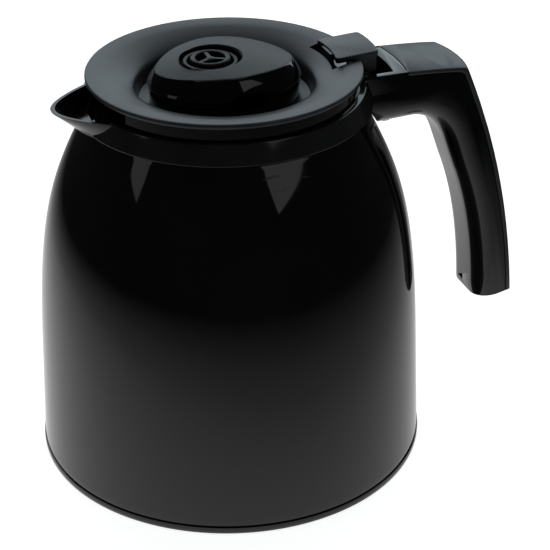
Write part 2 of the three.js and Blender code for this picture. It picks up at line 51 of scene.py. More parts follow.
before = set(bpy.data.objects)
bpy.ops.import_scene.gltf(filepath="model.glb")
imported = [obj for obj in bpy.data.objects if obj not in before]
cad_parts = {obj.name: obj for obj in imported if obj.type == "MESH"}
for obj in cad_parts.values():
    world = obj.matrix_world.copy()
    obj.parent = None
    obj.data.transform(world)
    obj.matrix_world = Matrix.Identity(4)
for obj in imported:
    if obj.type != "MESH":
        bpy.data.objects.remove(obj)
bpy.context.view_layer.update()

MM = 0.001
TURN = 2 * math.pi
INLET_CENTRE = -5.6
PIVOT_X = -30.0
SPRING_FOOT = 137.6
SPRING_HEAD = 144.0
SPRING_COILS = 5
SPRING_STEPS = 160
WIRE_RADIUS = 0.4
FACE_POWER = 1.77
FLANK_BULGE = 0.25
COVER_BULGE = 2.6
LIGHT_COLOUR = (0.81, 0.93, 1.0)
PANEL_DISTANCE = 2.2
CAMERA_TURN = 20.0
CAMERA_PITCH = 29.2
CAMERA_ROLL = -0.38
CAMERA_PLACE = (-0.2062, -0.6231, 0.43975)
SHELL_NECK = 54.3
FLASK_NECK = 56.8


def low(node):
    """The lowest corner of a node of the model."""
    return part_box(node)[0]


def high(node):
    """The highest corner of a node of the model."""
    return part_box(node)[1]


# ------------------------------------------------------------------ sizes and colours


def length(name, description, default):
    """A length setting, in metres."""
    return FloatProperty(name=name, description=description, default=default, min=0, unit="LENGTH")


def colour(name, description, default):
    """A colour setting."""
    return FloatVectorProperty(
        name=name, description=description, default=default, subtype="COLOR", min=0, max=1
    )


class JugSizes(bpy.types.PropertyGroup):
    """Sizes of the casing, its base and the collar."""

    foot_radius: length("Foot radius", "Outside of the base plate", high("base_plate").y)
    foot_height: length("Foot height", "Top of the base plate's edge", 0.0038)
    wall: length("Casing wall", "Thickness of the casing", 0.0022)
    shoulder_top: length("Shoulder top", "Height of the casing's top edge", 0.1502)
    neck_top: length("Neck top", "Height of the casing's neck", high("outer_shell").z)
    collar_low: length("Collar underside", "Height of the collar's lower edge", 0.1505)
    collar_top: length("Collar top", "Height of the collar's upper edge", high("pouring_collar").z)
    collar_low_radius: length("Collar lower radius", "Radius at the lower edge", 0.0582)
    collar_top_radius: length("Collar upper radius", "Radius at the upper edge", 0.0554)
    collar_bore: length("Collar bore", "Radius of the opening for the lid", 0.0478)
    spout_reach: length("Spout reach", "Lip to the jug's axis", -low("pouring_collar").x)
    spout_half_width: length("Spout half width", "Half width at the collar", 0.0215)
    spout_wall: length("Spout wall", "Thickness of the spout", 0.0018)
    spout_bed: length("Spout bed", "Height of the channel's floor", 0.1518)


class HandleSizes(bpy.types.PropertyGroup):
    """Sizes of the handle."""

    half_width: length("Half width", "Half of the handle's width", high("handle_body").y)
    arm_top: length("Arm top", "Height of the arm's top", 0.1588)
    grip_end: length("Grip end", "Height of the grip's lower end", low("handle_body").z)
    cover_thickness: length("Cover thickness", "Depth of the cover strip", 0.0021)
    seam_gap: length("Seam gap", "Gap round the cover", 0.00028)
    seam_radius: length("Seam radius", "Front edge of the cover to the axis", 0.073)
    well_radius: length("Well radius", "Outer wall of the thumb well", 0.0676)
    well_half_width: length("Well half width", "Half width of the thumb well", 0.012)
    well_floor: length("Well floor", "Height of the thumb well's floor", 0.1495)
    screw_x: length("Screw distance", "Screws to the jug's axis", 0.0662)


class LidSizes(bpy.types.PropertyGroup):
    """Sizes of the lid, its inlet and the thumb lever."""

    rim_radius: length("Rim radius", "Outside of the dish", high("lid_dish").y)
    rim_height: length("Rim height", "Top of the dish's rim", high("lid_dish").z)
    skirt_radius: length("Skirt radius", "Outside of the skirt", 0.0532)
    moat_floor: length("Dish floor", "Height of the dish's lowest part", 0.154)
    notch_radius: length("Notch radius", "Inner end of the thumb notch", 0.0422)
    notch_half_width: length("Notch half width", "Half of the notch's width", 0.0126)
    plug_radius: length("Plug radius", "Outside of the plug", 0.0464)
    plug_floor: length("Plug floor", "Height of the plug's underside", low("lid_body").z)
    port_radius: length("Port radius", "Radius of the valve's port", 0.0135)
    tower_length: length("Tower half length", "Half of the oval tower's length", 0.0301)
    tower_width: length("Tower half width", "Half of the oval tower's width", 0.0248)
    cap_length: length("Cap half length", "Half of the cap's rim length", 0.0307)
    cap_width: length("Cap half width", "Half of the cap's rim width", 0.0255)
    face_length: length("Face half length", "Half of the cap face's length", 0.0276)
    face_width: length("Face half width", "Half of the cap face's width", 0.0219)
    cap_rim: length("Cap rim height", "Height where the cap is widest", 0.1624)
    cap_foot: length("Cap foot height", "Height of the cap's lower edge", 0.1608)
    crown: length("Crown", "Height of the cap's crown", 0.1714)
    inlet_radius: length("Inlet radius", "Radius of the hole in the cap", 0.0122)
    wheel_radius: length("Wheel radius", "Outside of the inlet wheel", 0.008)
    wheel_top: length("Wheel top", "Top of the inlet wheel", high("inlet_wheel").z)
    tab_inner: length("Tab inner radius", "Inner edge of the thumb tab", 0.044)
    tab_outer: length("Tab outer radius", "Outer edge of the thumb tab", 0.0617)
    tab_half_width: length("Tab half width", "Half of the thumb tab's width", 0.011)
    tab_top: length("Tab top", "Height of the thumb tab", high("thumb_lever").z)
    tab_plate: length("Tab thickness", "Thickness of the thumb tab", 0.0023)
    pivot_height: length("Pivot height", "Height of the lever's pin", 0.1474)


class JugFinishes(bpy.types.PropertyGroup):
    """Colours of the jug's materials."""

    gloss: colour("Gloss black", "Polished casing, collar and handle", (0.0016, 0.0017, 0.0019))
    collar: colour("Collar black", "Collar, spout and skirt", (0.006, 0.0062, 0.0063))
    satin: colour("Satin black", "Dish, thumb tab and handle cover", (0.012, 0.014, 0.017))
    grained: colour("Grained black", "Inlet cap and wheel", (0.0065, 0.0072, 0.008))
    silver: colour("Silvering", "Silvered flask glass", (0.82, 0.84, 0.85))
    silicone: colour("Silicone", "Gaskets and seals", (0.32, 0.33, 0.34))
    rubber: colour("Rubber", "Flask cushion", (0.02, 0.02, 0.022))
    steel: colour("Steel", "Screws, pin and spring", (0.55, 0.56, 0.57))
    floor: colour("Floor", "Studio floor", (0.93, 0.93, 0.93))


class StudioSettings(bpy.types.PropertyGroup):
    """Camera, lights and smoothness."""

    lens: FloatProperty(name="Lens", description="Focal length", default=118.7, unit="CAMERA")
    rings: IntProperty(name="Rings", description="Steps round the turned pieces", default=144, min=24)
    overhead: FloatProperty(name="Rear", description="Strength of the light behind", default=1.0)
    front: FloatProperty(name="Front", description="Strength of the two front lights", default=1.0)


def in_mm(group):
    """A property group's lengths, in millimetres."""
    return SimpleNamespace(**{name: getattr(group, name) / MM for name in type(group).__annotations__})


# ------------------------------------------------------------------ lines and outlines


def spline(points, count):
    """Points along one smooth curve through the given points."""
    last = len(points) - 1
    result = []
    for step in range(count + 1):
        place = last * step / count
        i = min(int(place), last - 1)
        w = place - i
        before, start = Vector(points[max(i - 1, 0)]), Vector(points[i])
        end, after = Vector(points[i + 1]), Vector(points[min(i + 2, last)])
        leave, arrive = (end - before) / 2, (after - start) / 2
        result.append(tuple(
            start + leave * w + (3 * (end - start) - 2 * leave - arrive) * w * w
            + (2 * (start - end) + leave + arrive) * w**3
        ))
    return result


def even_curve(points, count):
    """A (radius, height) line whose bend changes evenly, so that reflections run smoothly along it."""
    heights = [z for _, z in points]
    steps = [b - a for a, b in zip(heights, heights[1:])]
    rises = [(b[0] - a[0]) / (b[1] - a[1]) for a, b in zip(points, points[1:])]
    bends = [0.0] * len(points)
    for _ in range(60):
        for i in range(1, len(points) - 1):
            pull = 6 * (rises[i] - rises[i - 1]) - steps[i - 1] * bends[i - 1] - steps[i] * bends[i + 1]
            bends[i] = pull / (2 * (steps[i - 1] + steps[i]))
    result = []
    for step in range(count + 1):
        z = heights[0] + (heights[-1] - heights[0]) * step / count
        i = max(k for k in range(len(steps)) if heights[k] <= z or k == 0)
        up, down, span = z - heights[i], heights[i + 1] - z, steps[i]
        radius = (
            (bends[i] * down**3 + bends[i + 1] * up**3) / (6 * span)
            + (points[i][0] / span - bends[i] * span / 6) * down
            + (points[i + 1][0] / span - bends[i + 1] * span / 6) * up
        )
        result.append((radius, z))
    return result


def bend(start, control, end, count=12):
    """Points on a curve from start to end that is drawn towards its control point."""
    a, b, c = Vector(start), Vector(control), Vector(end)
    steps = [i / count for i in range(count + 1)]
    return [tuple(a * (1 - t) ** 2 + b * 2 * t * (1 - t) + c * t * t) for t in steps]


def arc(radius, start, end, count=16, centre=(0, 0)):
    """Points on a circle between two angles."""
    angles = [start + (end - start) * i / count for i in range(count + 1)]
    return [(centre[0] + radius * math.cos(a), centre[1] + radius * math.sin(a)) for a in angles]


# ------------------------------------------------------------------ shaping


def tidy(bm):
    """Welds what touches, drops slivers and turns every face outwards."""
    bmesh.ops.remove_doubles(bm, verts=bm.verts, dist=0.004)
    bmesh.ops.dissolve_degenerate(bm, edges=bm.edges, dist=0.002)
    bmesh.ops.recalc_face_normals(bm, faces=bm.faces)
    return bm


def loop(bm, points):
    """A closed line of vertices and edges."""
    verts = [bm.verts.new(p) for p in points]
    return verts, [bm.edges.new(pair) for pair in zip(verts, verts[1:] + verts[:1])]


def spun(profile, steps, centre=0):
    """A closed (radius, height) profile turned about an upright axis."""
    bm = bmesh.new()
    verts, edges = loop(bm, [(r, 0, z) for r, z in profile])
    bmesh.ops.spin(
        bm, geom=verts + edges, axis=(0, 0, 1), cent=(0, 0, 0), angle=TURN, steps=steps, use_merge=True
    )
    if centre:
        bmesh.ops.translate(bm, verts=bm.verts, vec=(centre, 0, 0))
    return tidy(bm)


def slab(outline, lowest, highest):
    """A plan outline raised from one height to another."""
    bm = bmesh.new()
    verts, _ = loop(bm, [(x, y, lowest) for x, y in outline])
    face = bm.faces.new(verts)
    top = bmesh.ops.extrude_face_region(bm, geom=[face])["geom"]
    moved = [g for g in top if isinstance(g, bmesh.types.BMVert)]
    bmesh.ops.translate(bm, verts=moved, vec=(0, 0, highest - lowest))
    return tidy(bm)


def side_slab(outline, half_width, centre=0):
    """A side outline (x, z) given width across the jug."""
    bm = slab([(x, -z) for x, z in outline], -half_width, half_width)
    bmesh.ops.rotate(bm, verts=bm.verts, cent=(0, 0, 0), matrix=Matrix.Rotation(-math.pi / 2, 3, "X"))
    bmesh.ops.translate(bm, verts=bm.verts, vec=(0, centre, 0))
    return tidy(bm)


def block(x, y, z):
    """A box between three pairs of limits."""
    return slab([(x[0], y[0]), (x[1], y[0]), (x[1], y[1]), (x[0], y[1])], *z)


def rod(radius, lowest, highest, x=0, y=0, steps=48):
    """An upright round bar."""
    return slab(arc(radius, 0, TURN * (1 - 1 / steps), steps - 1, (x, y)), lowest, highest)


def cross_rod(radius, half_length, x, z, steps=32):
    """A round bar that lies across the jug."""
    return side_slab(arc(radius, 0, TURN * (1 - 1 / steps), steps - 1, (x, z)), half_length)


def ring_wedge(inner, outer, half_width, lowest, highest, steps=16):
    """Part of an upright ring on the handle's side, of the given half width."""
    near, far = math.asin(half_width / inner), math.asin(half_width / outer)
    return slab(arc(outer, -far, far, steps) + arc(inner, near, -near, steps), lowest, highest)


def skin(stations, steps=96):
    """A closed skin through stations. Each station gives a point for an angle."""
    bm = bmesh.new()
    angle = bm.verts.layers.float.new("angle")
    verts = bmesh.ops.create_circle(bm, segments=steps, radius=1)["verts"]
    for v in verts:
        v[angle] = math.atan2(v.co.y, v.co.x)
        v.co = stations[0](v[angle])
    edges = bm.edges[:]
    for station in stations[1:] + stations[:1]:
        grown = bmesh.ops.extrude_edge_only(bm, edges=edges)["geom"]
        fresh = {g for g in grown if isinstance(g, bmesh.types.BMVert)}
        edges = [g for g in grown if isinstance(g, bmesh.types.BMEdge) and fresh.issuperset(g.verts)]
        for v in fresh:
            v.co = station(v[angle])
    return tidy(bm)


def oval(half_length, half_width, height, power=2, centre=0):
    """A station: a level oval, an ellipse at power 2 and more pointed below it."""
    def point(angle):
        c, s = math.cos(angle), math.sin(angle)
        x = math.copysign(abs(c) ** (2 / power), c)
        y = math.copysign(abs(s) ** (2 / power), s)
        return Vector((centre + half_length * x, half_width * y, height))
    return point


def soften(bm, width, over=35, segments=2, where=None):
    """Rounds the edges that are sharper than an angle."""
    limit = math.radians(over)
    edges = [
        e for e in bm.edges
        if len(e.link_faces) == 2 and e.calc_face_angle(0) > limit and (where is None or where(e))
    ]
    bmesh.ops.bevel(
        bm, geom=edges, offset=width, offset_type="OFFSET", segments=segments, profile=0.5,
        affect="EDGES", material=-1, clamp_overlap=False,
    )
    return bm


def mesh_of(bm, name):
    """The shape as a mesh, in metres."""
    bmesh.ops.scale(bm, vec=(MM, MM, MM), verts=bm.verts)
    mesh = bpy.data.meshes.new(name)
    bm.to_mesh(mesh)
    bm.free()
    return mesh


def combined(base, tools, operation):
    """The base with tools cut out, joined on or kept in common. Every shape is in millimetres."""
    main = bpy.data.objects.new("work", mesh_of(base, "work"))
    bpy.context.scene.collection.objects.link(main)
    helpers = [bpy.data.objects.new("tool", mesh_of(tool, "tool")) for tool in tools]
    for helper in helpers:
        bpy.context.scene.collection.objects.link(helper)
        step = main.modifiers.new("shape", "BOOLEAN")
        step.operation = operation
        step.solver = "EXACT"
        step.object = helper
    result = bmesh.new()
    result.from_object(main, bpy.context.evaluated_depsgraph_get())
    bmesh.ops.scale(result, vec=(1 / MM, 1 / MM, 1 / MM), verts=result.verts)
    for used in [main, *helpers]:
        bpy.data.meshes.remove(used.data)
    return tidy(result)


def cut(base, *tools):
    """The base without the tools."""
    return combined(base, tools, "DIFFERENCE")


def join(base, *others):
    """The base and the others as one."""
    return combined(base, others, "UNION")


def common(base, *others):
    """What the base shares with the others."""
    return combined(base, others, "INTERSECT")


def clean_flats(bm, degrees=1):
    """Removes the edges inside flat faces."""
    bmesh.ops.dissolve_limit(
        bm, angle_limit=math.radians(degrees), use_dissolve_boundaries=False, verts=bm.verts, edges=bm.edges
    )
    bmesh.ops.remove_doubles(bm, verts=bm.verts, dist=0.02)
    return bm


def smooth_piece(bm, name, *materials):
    """Makes an object of a shape, with its materials and smooth shading."""
    mesh = mesh_of(bm, name)
    for made in materials:
        mesh.materials.append(made)
    for polygon in mesh.polygons:
        polygon.use_smooth = True
    piece = bpy.data.objects.new(name, mesh)
    bpy.context.scene.collection.objects.link(piece)
    return piece


def place(bm, name, body, slot, stands_for, *materials, sharp=40):
    """Makes a finished piece of a shape, with its body, finish and the node that it stands for."""
    piece = smooth_piece(bm, name, *materials)
    piece.data.set_sharp_from_angle(angle=math.radians(sharp))
    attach(piece, body)
    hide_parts(stands_for)
    return piece


# ------------------------------------------------------------------ shader groups


def new_group(name, inputs, outputs):
    """An empty shader group with its sockets, and its two end nodes."""
    group = bpy.data.node_groups.new(name, "ShaderNodeTree")
    for label, kind, default in inputs:
        socket = group.interface.new_socket(label, in_out="INPUT", socket_type=kind)
        if default is not None:
            socket.default_value = default
    for label, kind in outputs:
        group.interface.new_socket(label, in_out="OUTPUT", socket_type=kind)
    source, sink = group.nodes.new("NodeGroupInput"), group.nodes.new("NodeGroupOutput")
    source.location, sink.location = (-900, 0), (600, 0)
    return group, source, sink


def node(tree, kind, at=(0, 0), **values):
    """A node with its settings. Names of inputs are matched too."""
    made = tree.nodes.new(kind)
    made.location = at
    for key, value in values.items():
        if hasattr(made, key):
            setattr(made, key, value)
        else:
            made.inputs[key.replace("_", " ").title()].default_value = value
    return made


def math_node(tree, operation, a, b=None, at=(0, 0), clamp=False):
    """A maths node fed by sockets or numbers."""
    made = tree.nodes.new("ShaderNodeMath")
    made.operation, made.use_clamp, made.location = operation, clamp, at
    for socket, value in zip(made.inputs, (a, b)):
        if value is None:
            continue
        if isinstance(value, (int, float)):
            socket.default_value = value
        else:
            tree.links.new(value, socket)
    return made.outputs[0]


def range_node(tree, value, from_low, from_high, to_low, to_high, at=(0, 0)):
    """Carries a value from one range to another."""
    made = tree.nodes.new("ShaderNodeMapRange")
    made.location = at
    made.inputs["From Min"].default_value = from_low
    made.inputs["From Max"].default_value = from_high
    for key, limit in (("To Min", to_low), ("To Max", to_high)):
        if isinstance(limit, (int, float)):
            made.inputs[key].default_value = limit
        else:
            tree.links.new(limit, made.inputs[key])
    tree.links.new(value, made.inputs["Value"])
    return made.outputs["Result"]


def colour_drift_group():
    """Slow variation between a finish's two shades."""
    group, source, sink = new_group(
        "Colour Drift",
        [("Vector", "NodeSocketVector", None), ("Shade", "NodeSocketColor", (0.01, 0.01, 0.01, 1)),
         ("Second Shade", "NodeSocketColor", (0.02, 0.02, 0.02, 1)), ("Scale", "NodeSocketFloat", 40.0)],
        [("Color", "NodeSocketColor")],
    )
    noise = node(group, "ShaderNodeTexNoise", (-600, 0), detail=3.0)
    mix = node(group, "ShaderNodeMix", (200, 0), data_type="RGBA")
    group.links.new(source.outputs["Vector"], noise.inputs["Vector"])
    group.links.new(source.outputs["Scale"], noise.inputs["Scale"])
    share = range_node(group, noise.outputs["Fac"], 0.35, 0.65, 0.0, 1.0, (-200, 0))
    group.links.new(share, mix.inputs["Factor"])
    group.links.new(source.outputs["Shade"], mix.inputs["A"])
    group.links.new(source.outputs["Second Shade"], mix.inputs["B"])
    group.links.new(mix.outputs["Result"], sink.inputs["Color"])
    return group


def eroded_grain_group():
    """The fine pebbled texture of an eroded mould."""
    group, source, sink = new_group(
        "Eroded Grain",
        [("Vector", "NodeSocketVector", None), ("Scale", "NodeSocketFloat", 2200.0)],
        [("Height", "NodeSocketFloat")],
    )
    noise = node(group, "ShaderNodeTexNoise", (-600, 100), detail=2.0)
    cells = node(group, "ShaderNodeTexVoronoi", (-600, -200))
    for target in (noise, cells):
        group.links.new(source.outputs["Vector"], target.inputs["Vector"])
        group.links.new(source.outputs["Scale"], target.inputs["Scale"])
    pits = math_node(group, "MULTIPLY", cells.outputs["Distance"], 0.6, (-300, -200))
    total = math_node(group, "ADD", noise.outputs["Fac"], pits, (0, 0))
    group.links.new(total, sink.inputs["Height"])
    return group


def flow_ripple_group():
    """The slow waviness of a polished moulding."""
    group, source, sink = new_group(
        "Flow Ripple",
        [("Vector", "NodeSocketVector", None), ("Scale", "NodeSocketFloat", 60.0)],
        [("Height", "NodeSocketFloat")],
    )
    broad = node(group, "ShaderNodeTexNoise", (-600, 100), detail=1.0)
    fine = node(group, "ShaderNodeTexNoise", (-600, -200), detail=2.0)
    group.links.new(source.outputs["Vector"], broad.inputs["Vector"])
    group.links.new(source.outputs["Vector"], fine.inputs["Vector"])
    group.links.new(source.outputs["Scale"], broad.inputs["Scale"])
    group.links.new(math_node(group, "MULTIPLY", source.outputs["Scale"], 9.0), fine.inputs["Scale"])
    small = math_node(group, "MULTIPLY", fine.outputs["Fac"], 0.08, (-300, -200))
    total = math_node(group, "ADD", broad.outputs["Fac"], small, (0, 0))
    group.links.new(total, sink.inputs["Height"])
    return group


def handling_group():
    """Roughness with faint smudges, hairline scratches and specks of dust."""
    group, source, sink = new_group(
        "Handling",
        [("Vector", "NodeSocketVector", None), ("Clean", "NodeSocketFloat", 0.1),
         ("Smudged", "NodeSocketFloat", 0.2), ("Scratched", "NodeSocketFloat", 0.4)],
        [("Roughness", "NodeSocketFloat"), ("Dust", "NodeSocketFloat")],
    )
    smudge = node(group, "ShaderNodeTexNoise", (-700, 300), scale=22.0, detail=5.0)
    stretch = node(group, "ShaderNodeMapping", (-900, 0))
    stretch.inputs["Rotation"].default_value = (0.3, 0.5, 0.9)
    stretch.inputs["Scale"].default_value = (60, 900, 420)
    hair = node(group, "ShaderNodeTexNoise", (-700, 0), scale=1.0, detail=1.0)
    specks = node(group, "ShaderNodeTexVoronoi", (-700, -300), scale=420.0)
    for target in (smudge, stretch, specks):
        group.links.new(source.outputs["Vector"], target.inputs["Vector"])
    group.links.new(stretch.outputs["Vector"], hair.inputs["Vector"])
    soiled = range_node(
        group, smudge.outputs["Fac"], 0.45, 0.72, source.outputs["Clean"], source.outputs["Smudged"], (-400, 300)
    )
    scratch = range_node(group, hair.outputs["Fac"], 0.735, 0.76, 0.0, 1.0, (-400, 0))
    depth = math_node(group, "SUBTRACT", source.outputs["Scratched"], soiled, (-200, 100))
    added = math_node(group, "MULTIPLY", scratch, depth, (-50, 100))
    total = math_node(group, "ADD", soiled, added, (100, 200), clamp=True)
    dust = range_node(group, specks.outputs["Distance"], 0.035, 0.06, 1.0, 0.0, (-400, -300))
    group.links.new(total, sink.inputs["Roughness"])
    group.links.new(dust, sink.inputs["Dust"])
    return group


def brushed_group():
    """Fine lines left by drawing or turning metal."""
    group, source, sink = new_group(
        "Drawn Lines",
        [("Vector", "NodeSocketVector", None), ("Scale", "NodeSocketFloat", 1.0)],
        [("Height", "NodeSocketFloat")],
    )
    stretch = node(group, "ShaderNodeMapping", (-700, 0))
    stretch.inputs["Scale"].default_value = (300, 300, 6000)
    noise = node(group, "ShaderNodeTexNoise", (-400, 0), detail=2.0)
    group.links.new(source.outputs["Vector"], stretch.inputs["Vector"])
    group.links.new(stretch.outputs["Vector"], noise.inputs["Vector"])
    group.links.new(source.outputs["Scale"], noise.inputs["Scale"])
    group.links.new(noise.outputs["Fac"], sink.inputs["Height"])
    return group


# ------------------------------------------------------------------ materials


def shade(rgb, factor):
    """A colour made lighter or darker, with full alpha."""
    return (*(min(1, c * factor) for c in rgb), 1)


def finish(name, rgb, relief, relief_scale, relief_depth, clean, smudged, scratched, spread=1.35, **sockets):
    """A material of the given relief, handling and fixed shader values."""
    groups = bpy.data.node_groups
    made = bpy.data.materials.new(name)
    made.use_nodes = True
    tree = made.node_tree
    tree.nodes.clear()
    output = node(tree, "ShaderNodeOutputMaterial", (600, 0))
    shader = node(tree, "ShaderNodeBsdfPrincipled", (300, 0))
    tree.links.new(shader.outputs["BSDF"], output.inputs["Surface"])
    where = node(tree, "ShaderNodeTexCoord", (-900, 0)).outputs["Object"]

    drift = node(tree, "ShaderNodeGroup", (-500, 300), node_tree=groups["Colour Drift"])
    drift.inputs["Shade"].default_value = shade(rgb, 1 / spread)
    drift.inputs["Second Shade"].default_value = shade(rgb, spread)
    handling = node(tree, "ShaderNodeGroup", (-500, 0), node_tree=groups["Handling"])
    handling.inputs["Clean"].default_value = clean
    handling.inputs["Smudged"].default_value = smudged
    handling.inputs["Scratched"].default_value = scratched
    texture = node(tree, "ShaderNodeGroup", (-500, -300), node_tree=groups[relief])
    texture.inputs["Scale"].default_value = relief_scale
    for group in (drift, handling, texture):
        tree.links.new(where, group.inputs["Vector"])

    bump = node(tree, "ShaderNodeBump", (0, -300))
    bump.inputs["Strength"].default_value = 1.0
    bump.inputs["Distance"].default_value = relief_depth
    tree.links.new(texture.outputs["Height"], bump.inputs["Height"])
    tree.links.new(bump.outputs["Normal"], shader.inputs["Normal"])
    dusty = node(tree, "ShaderNodeMix", (0, 300), data_type="RGBA")
    dusty.inputs["B"].default_value = shade(rgb, 4)
    tree.links.new(handling.outputs["Dust"], dusty.inputs["Factor"])
    tree.links.new(drift.outputs["Color"], dusty.inputs["A"])
    tree.links.new(dusty.outputs["Result"], shader.inputs["Base Color"])
    tree.links.new(handling.outputs["Roughness"], shader.inputs["Roughness"])
    for key, value in sockets.items():
        shader.inputs[key.replace("_", " ")].default_value = value
    return made


def finish_of(name):
    """The material of that name, which the materials operator has made."""
    return bpy.data.materials[name]


class JUG_OT_materials(bpy.types.Operator):
    """Make the jug's materials and their shader groups"""

    bl_idname = "coffee_jug.materials"
    bl_label = "Materials"

    def execute(self, context):
        colours = context.scene.jug_finishes
        for make in (colour_drift_group, eroded_grain_group, flow_ripple_group, handling_group, brushed_group):
            make()
        finish("gloss black", colours.gloss, "Flow Ripple", 26, 6e-6, 0.035, 0.075, 0.22, IOR=1.5)
        finish("collar black", colours.collar, "Flow Ripple", 30, 8e-6, 0.1, 0.15, 0.3, IOR=1.5)
        finish("satin black", colours.satin, "Eroded Grain", 2400, 1.6e-5, 0.36, 0.42, 0.5, IOR=1.52)
        finish("grained black", colours.grained, "Eroded Grain", 1500, 5e-5, 0.4, 0.48, 0.55, IOR=1.36)
        finish("inside black", colours.grained, "Eroded Grain", 1800, 2e-5, 0.4, 0.5, 0.55, IOR=1.45)
        finish("silvered glass", colours.silver, "Flow Ripple", 40, 3e-5, 0.03, 0.08, 0.2, 1.04, Metallic=1.0)
        finish("silicone", colours.silicone, "Flow Ripple", 90, 4e-5, 0.45, 0.6, 0.65, 1.1, IOR=1.42)
        finish("rubber", colours.rubber, "Eroded Grain", 1400, 6e-5, 0.75, 0.88, 0.9, 1.2, IOR=1.5)
        finish("steel", colours.steel, "Drawn Lines", 1, 1.5e-5, 0.24, 0.34, 0.42, 1.06, Metallic=1.0)
        return {"FINISHED"}


# ------------------------------------------------------------------ casing, base and flask


def body_curve(neck=SHELL_NECK):
    """The jug's outside, from the foot to a neck of the given radius, in millimetres."""
    return even_curve([(79.9, 4.1), (78.4, 45), (75.3, 90), (69.3, 118), (59.8, 140), (neck, 150.2)], 96)


def casing_line(inset, lowest, highest, count=40, neck=SHELL_NECK):
    """The jug's curve set in from its surface, between two heights."""
    curve = body_curve(neck)
    result = []
    for step in range(count + 1):
        z = lowest + (highest - lowest) * step / count
        for (r1, z1), (r2, z2) in zip(curve, curve[1:]):
            if z1 <= z <= z2 or (r2, z2) == curve[-1]:
                share = min(max((z - z1) / (z2 - z1), 0), 1)
                result.append((r1 + (r2 - r1) * share - inset, z))
                break
    return result


class JUG_OT_casing(bpy.types.Operator):
    """Make the glossy casing and the base plate that closes it"""

    bl_idname = "coffee_jug.casing"
    bl_label = "Casing and Base"

    def execute(self, context):
        size = in_mm(context.scene.jug_sizes)
        rings = context.scene.jug_studio.rings
        gloss = finish_of("gloss black")
        outside = [(79.3, 4.1), *body_curve()[1:-1], (54.25, 150.1), (54.1, size.shoulder_top)]
        outside.insert(1, (79.75, 4.25))
        neck = [(53.6, size.shoulder_top), (53.6, size.neck_top - 0.4), (53.2, size.neck_top),
                (51.8, size.neck_top), (51.8, 148.6)]
        inside = casing_line(size.wall, 4.1, 147, 30)[::-1]
        shell = spun([*outside, *neck, *inside], rings)
        sunk = [v for v in shell.verts if v.co.z > size.shoulder_top + 0.1 and v.co.x < -46]
        bmesh.ops.scale(shell, vec=(1, 1, 0.1), verts=sunk, space=Matrix.Translation((0, 0, -size.shoulder_top)))
        screw_x = in_mm(context.scene.handle_sizes).screw_x
        drill = [rod(1.2, 130, 150, screw_x, y, 24) for y in (-5, 5)]
        lug = cut(block((55, 70), (-8, 8), (139.5, 144.5)), rod(56.8, 130, 150), *drill)
        soften(lug, 0.3)
        place(join(shell, lug), "casing", "jug", "gloss_black", "outer_shell", gloss)

        foot, top = size.foot_radius, size.foot_height
        base = spun([
            (0, 0), (16.6, 0), (17, 0.2), (18.5, 1.6), (66, 1.6), (67.5, 0.3), (68, 0), (78.4, 0), (79.3, 0.25),
            (79.9, 0.75), (foot, 1.6), (foot, top - 0.35), (foot - 0.12, top - 0.1), (foot - 0.4, top),
            (77.3, top), (77.3, 8), (75.6, 8), (75.6, 4), (0, 4),
        ], rings)
        place(base, "base", "jug", "gloss_black", "base_plate", gloss)
        return {"FINISHED"}


class JUG_OT_flask(bpy.types.Operator):
    """Make the double-walled flask, its cushion and the gasket at its neck"""

    bl_idname = "coffee_jug.flask"
    bl_label = "Flask"

    def execute(self, context):
        rings = context.scene.jug_studio.rings * 2 // 3
        outer = [
            (0, 9), (48, 9.6), (64, 13), (71.5, 18.5), *casing_line(4.8, 26, 145, 24, FLASK_NECK),
            *casing_line(6.3, 26, 145, 24, FLASK_NECK)[::-1], (69.6, 19.6), (63, 14.6), (47.5, 11.2), (0, 10.6),
        ]
        inner = [
            (0, 15), (46, 15.6), (60, 18.6), (67.4, 23.5), *casing_line(9.5, 28, 144, 24, FLASK_NECK),
            (49, 145.3), (53.4, 145.3), (53.4, 146.2), (53.1, 146.5), (47.8, 146.5), (47.5, 146.2),
            *casing_line(11, 28, 144, 24, FLASK_NECK)[::-1], (65.8, 24.4), (59, 20.2), (45.5, 17.2), (0, 16.6),
        ]
        cushion = [(20, 4.3), (58, 4.3), (58, 7.6), (57.4, 9.2), (56, 10), (50, 9.4), (48, 8.7), (20, 8.6)]
        gasket = [
            (48, 146.8), (51.4, 146.8), (51.4, 148.2), (51.1, 148.7), (50.6, 149), (48.3, 149), (48, 148.7),
        ]
        silver = finish_of("silvered glass")
        place(spun(outer, rings), "flask_outside", "jug", "flask_glass", "flask_outer_wall", silver)
        place(spun(inner, rings), "flask_inside", "jug", "flask_glass", "flask_inner_wall", silver)
        place(spun(cushion, rings), "cushion", "jug", "soft_rubber", "flask_cushion", finish_of("rubber"))
        place(spun(gasket, rings), "gasket", "jug", "silicone", "neck_gasket", finish_of("silicone"))
        return {"FINISHED"}


# ------------------------------------------------------------------ collar and spout


def spout_outline(tip, half_width, inset, root=-46):
    """The spout seen from above, from the collar round its lip and back."""
    root_width = half_width + 2.5 - inset
    reach = tip - inset
    side = bend((root, root_width), (0.2 - reach, 0.46 * half_width), (-reach, 0), 28)
    side[-1] = (side[-1][0], 0)
    half = [(-41, root_width), *side]
    return half + [(x, -y) for x, y in half[-2::-1]]


def spout_form(levels):
    """A spout as a skin over pairs of an outline and its height."""
    bm = bmesh.new()
    edges = None
    for outline, height in levels:
        verts, ring = loop(bm, [(x, y, height) for x, y in outline])
        if edges is None:
            bm.faces.new(verts)
        else:
            bmesh.ops.bridge_loops(bm, edges=edges + ring)
        edges = ring
    bm.faces.new(verts)
    return tidy(bm)


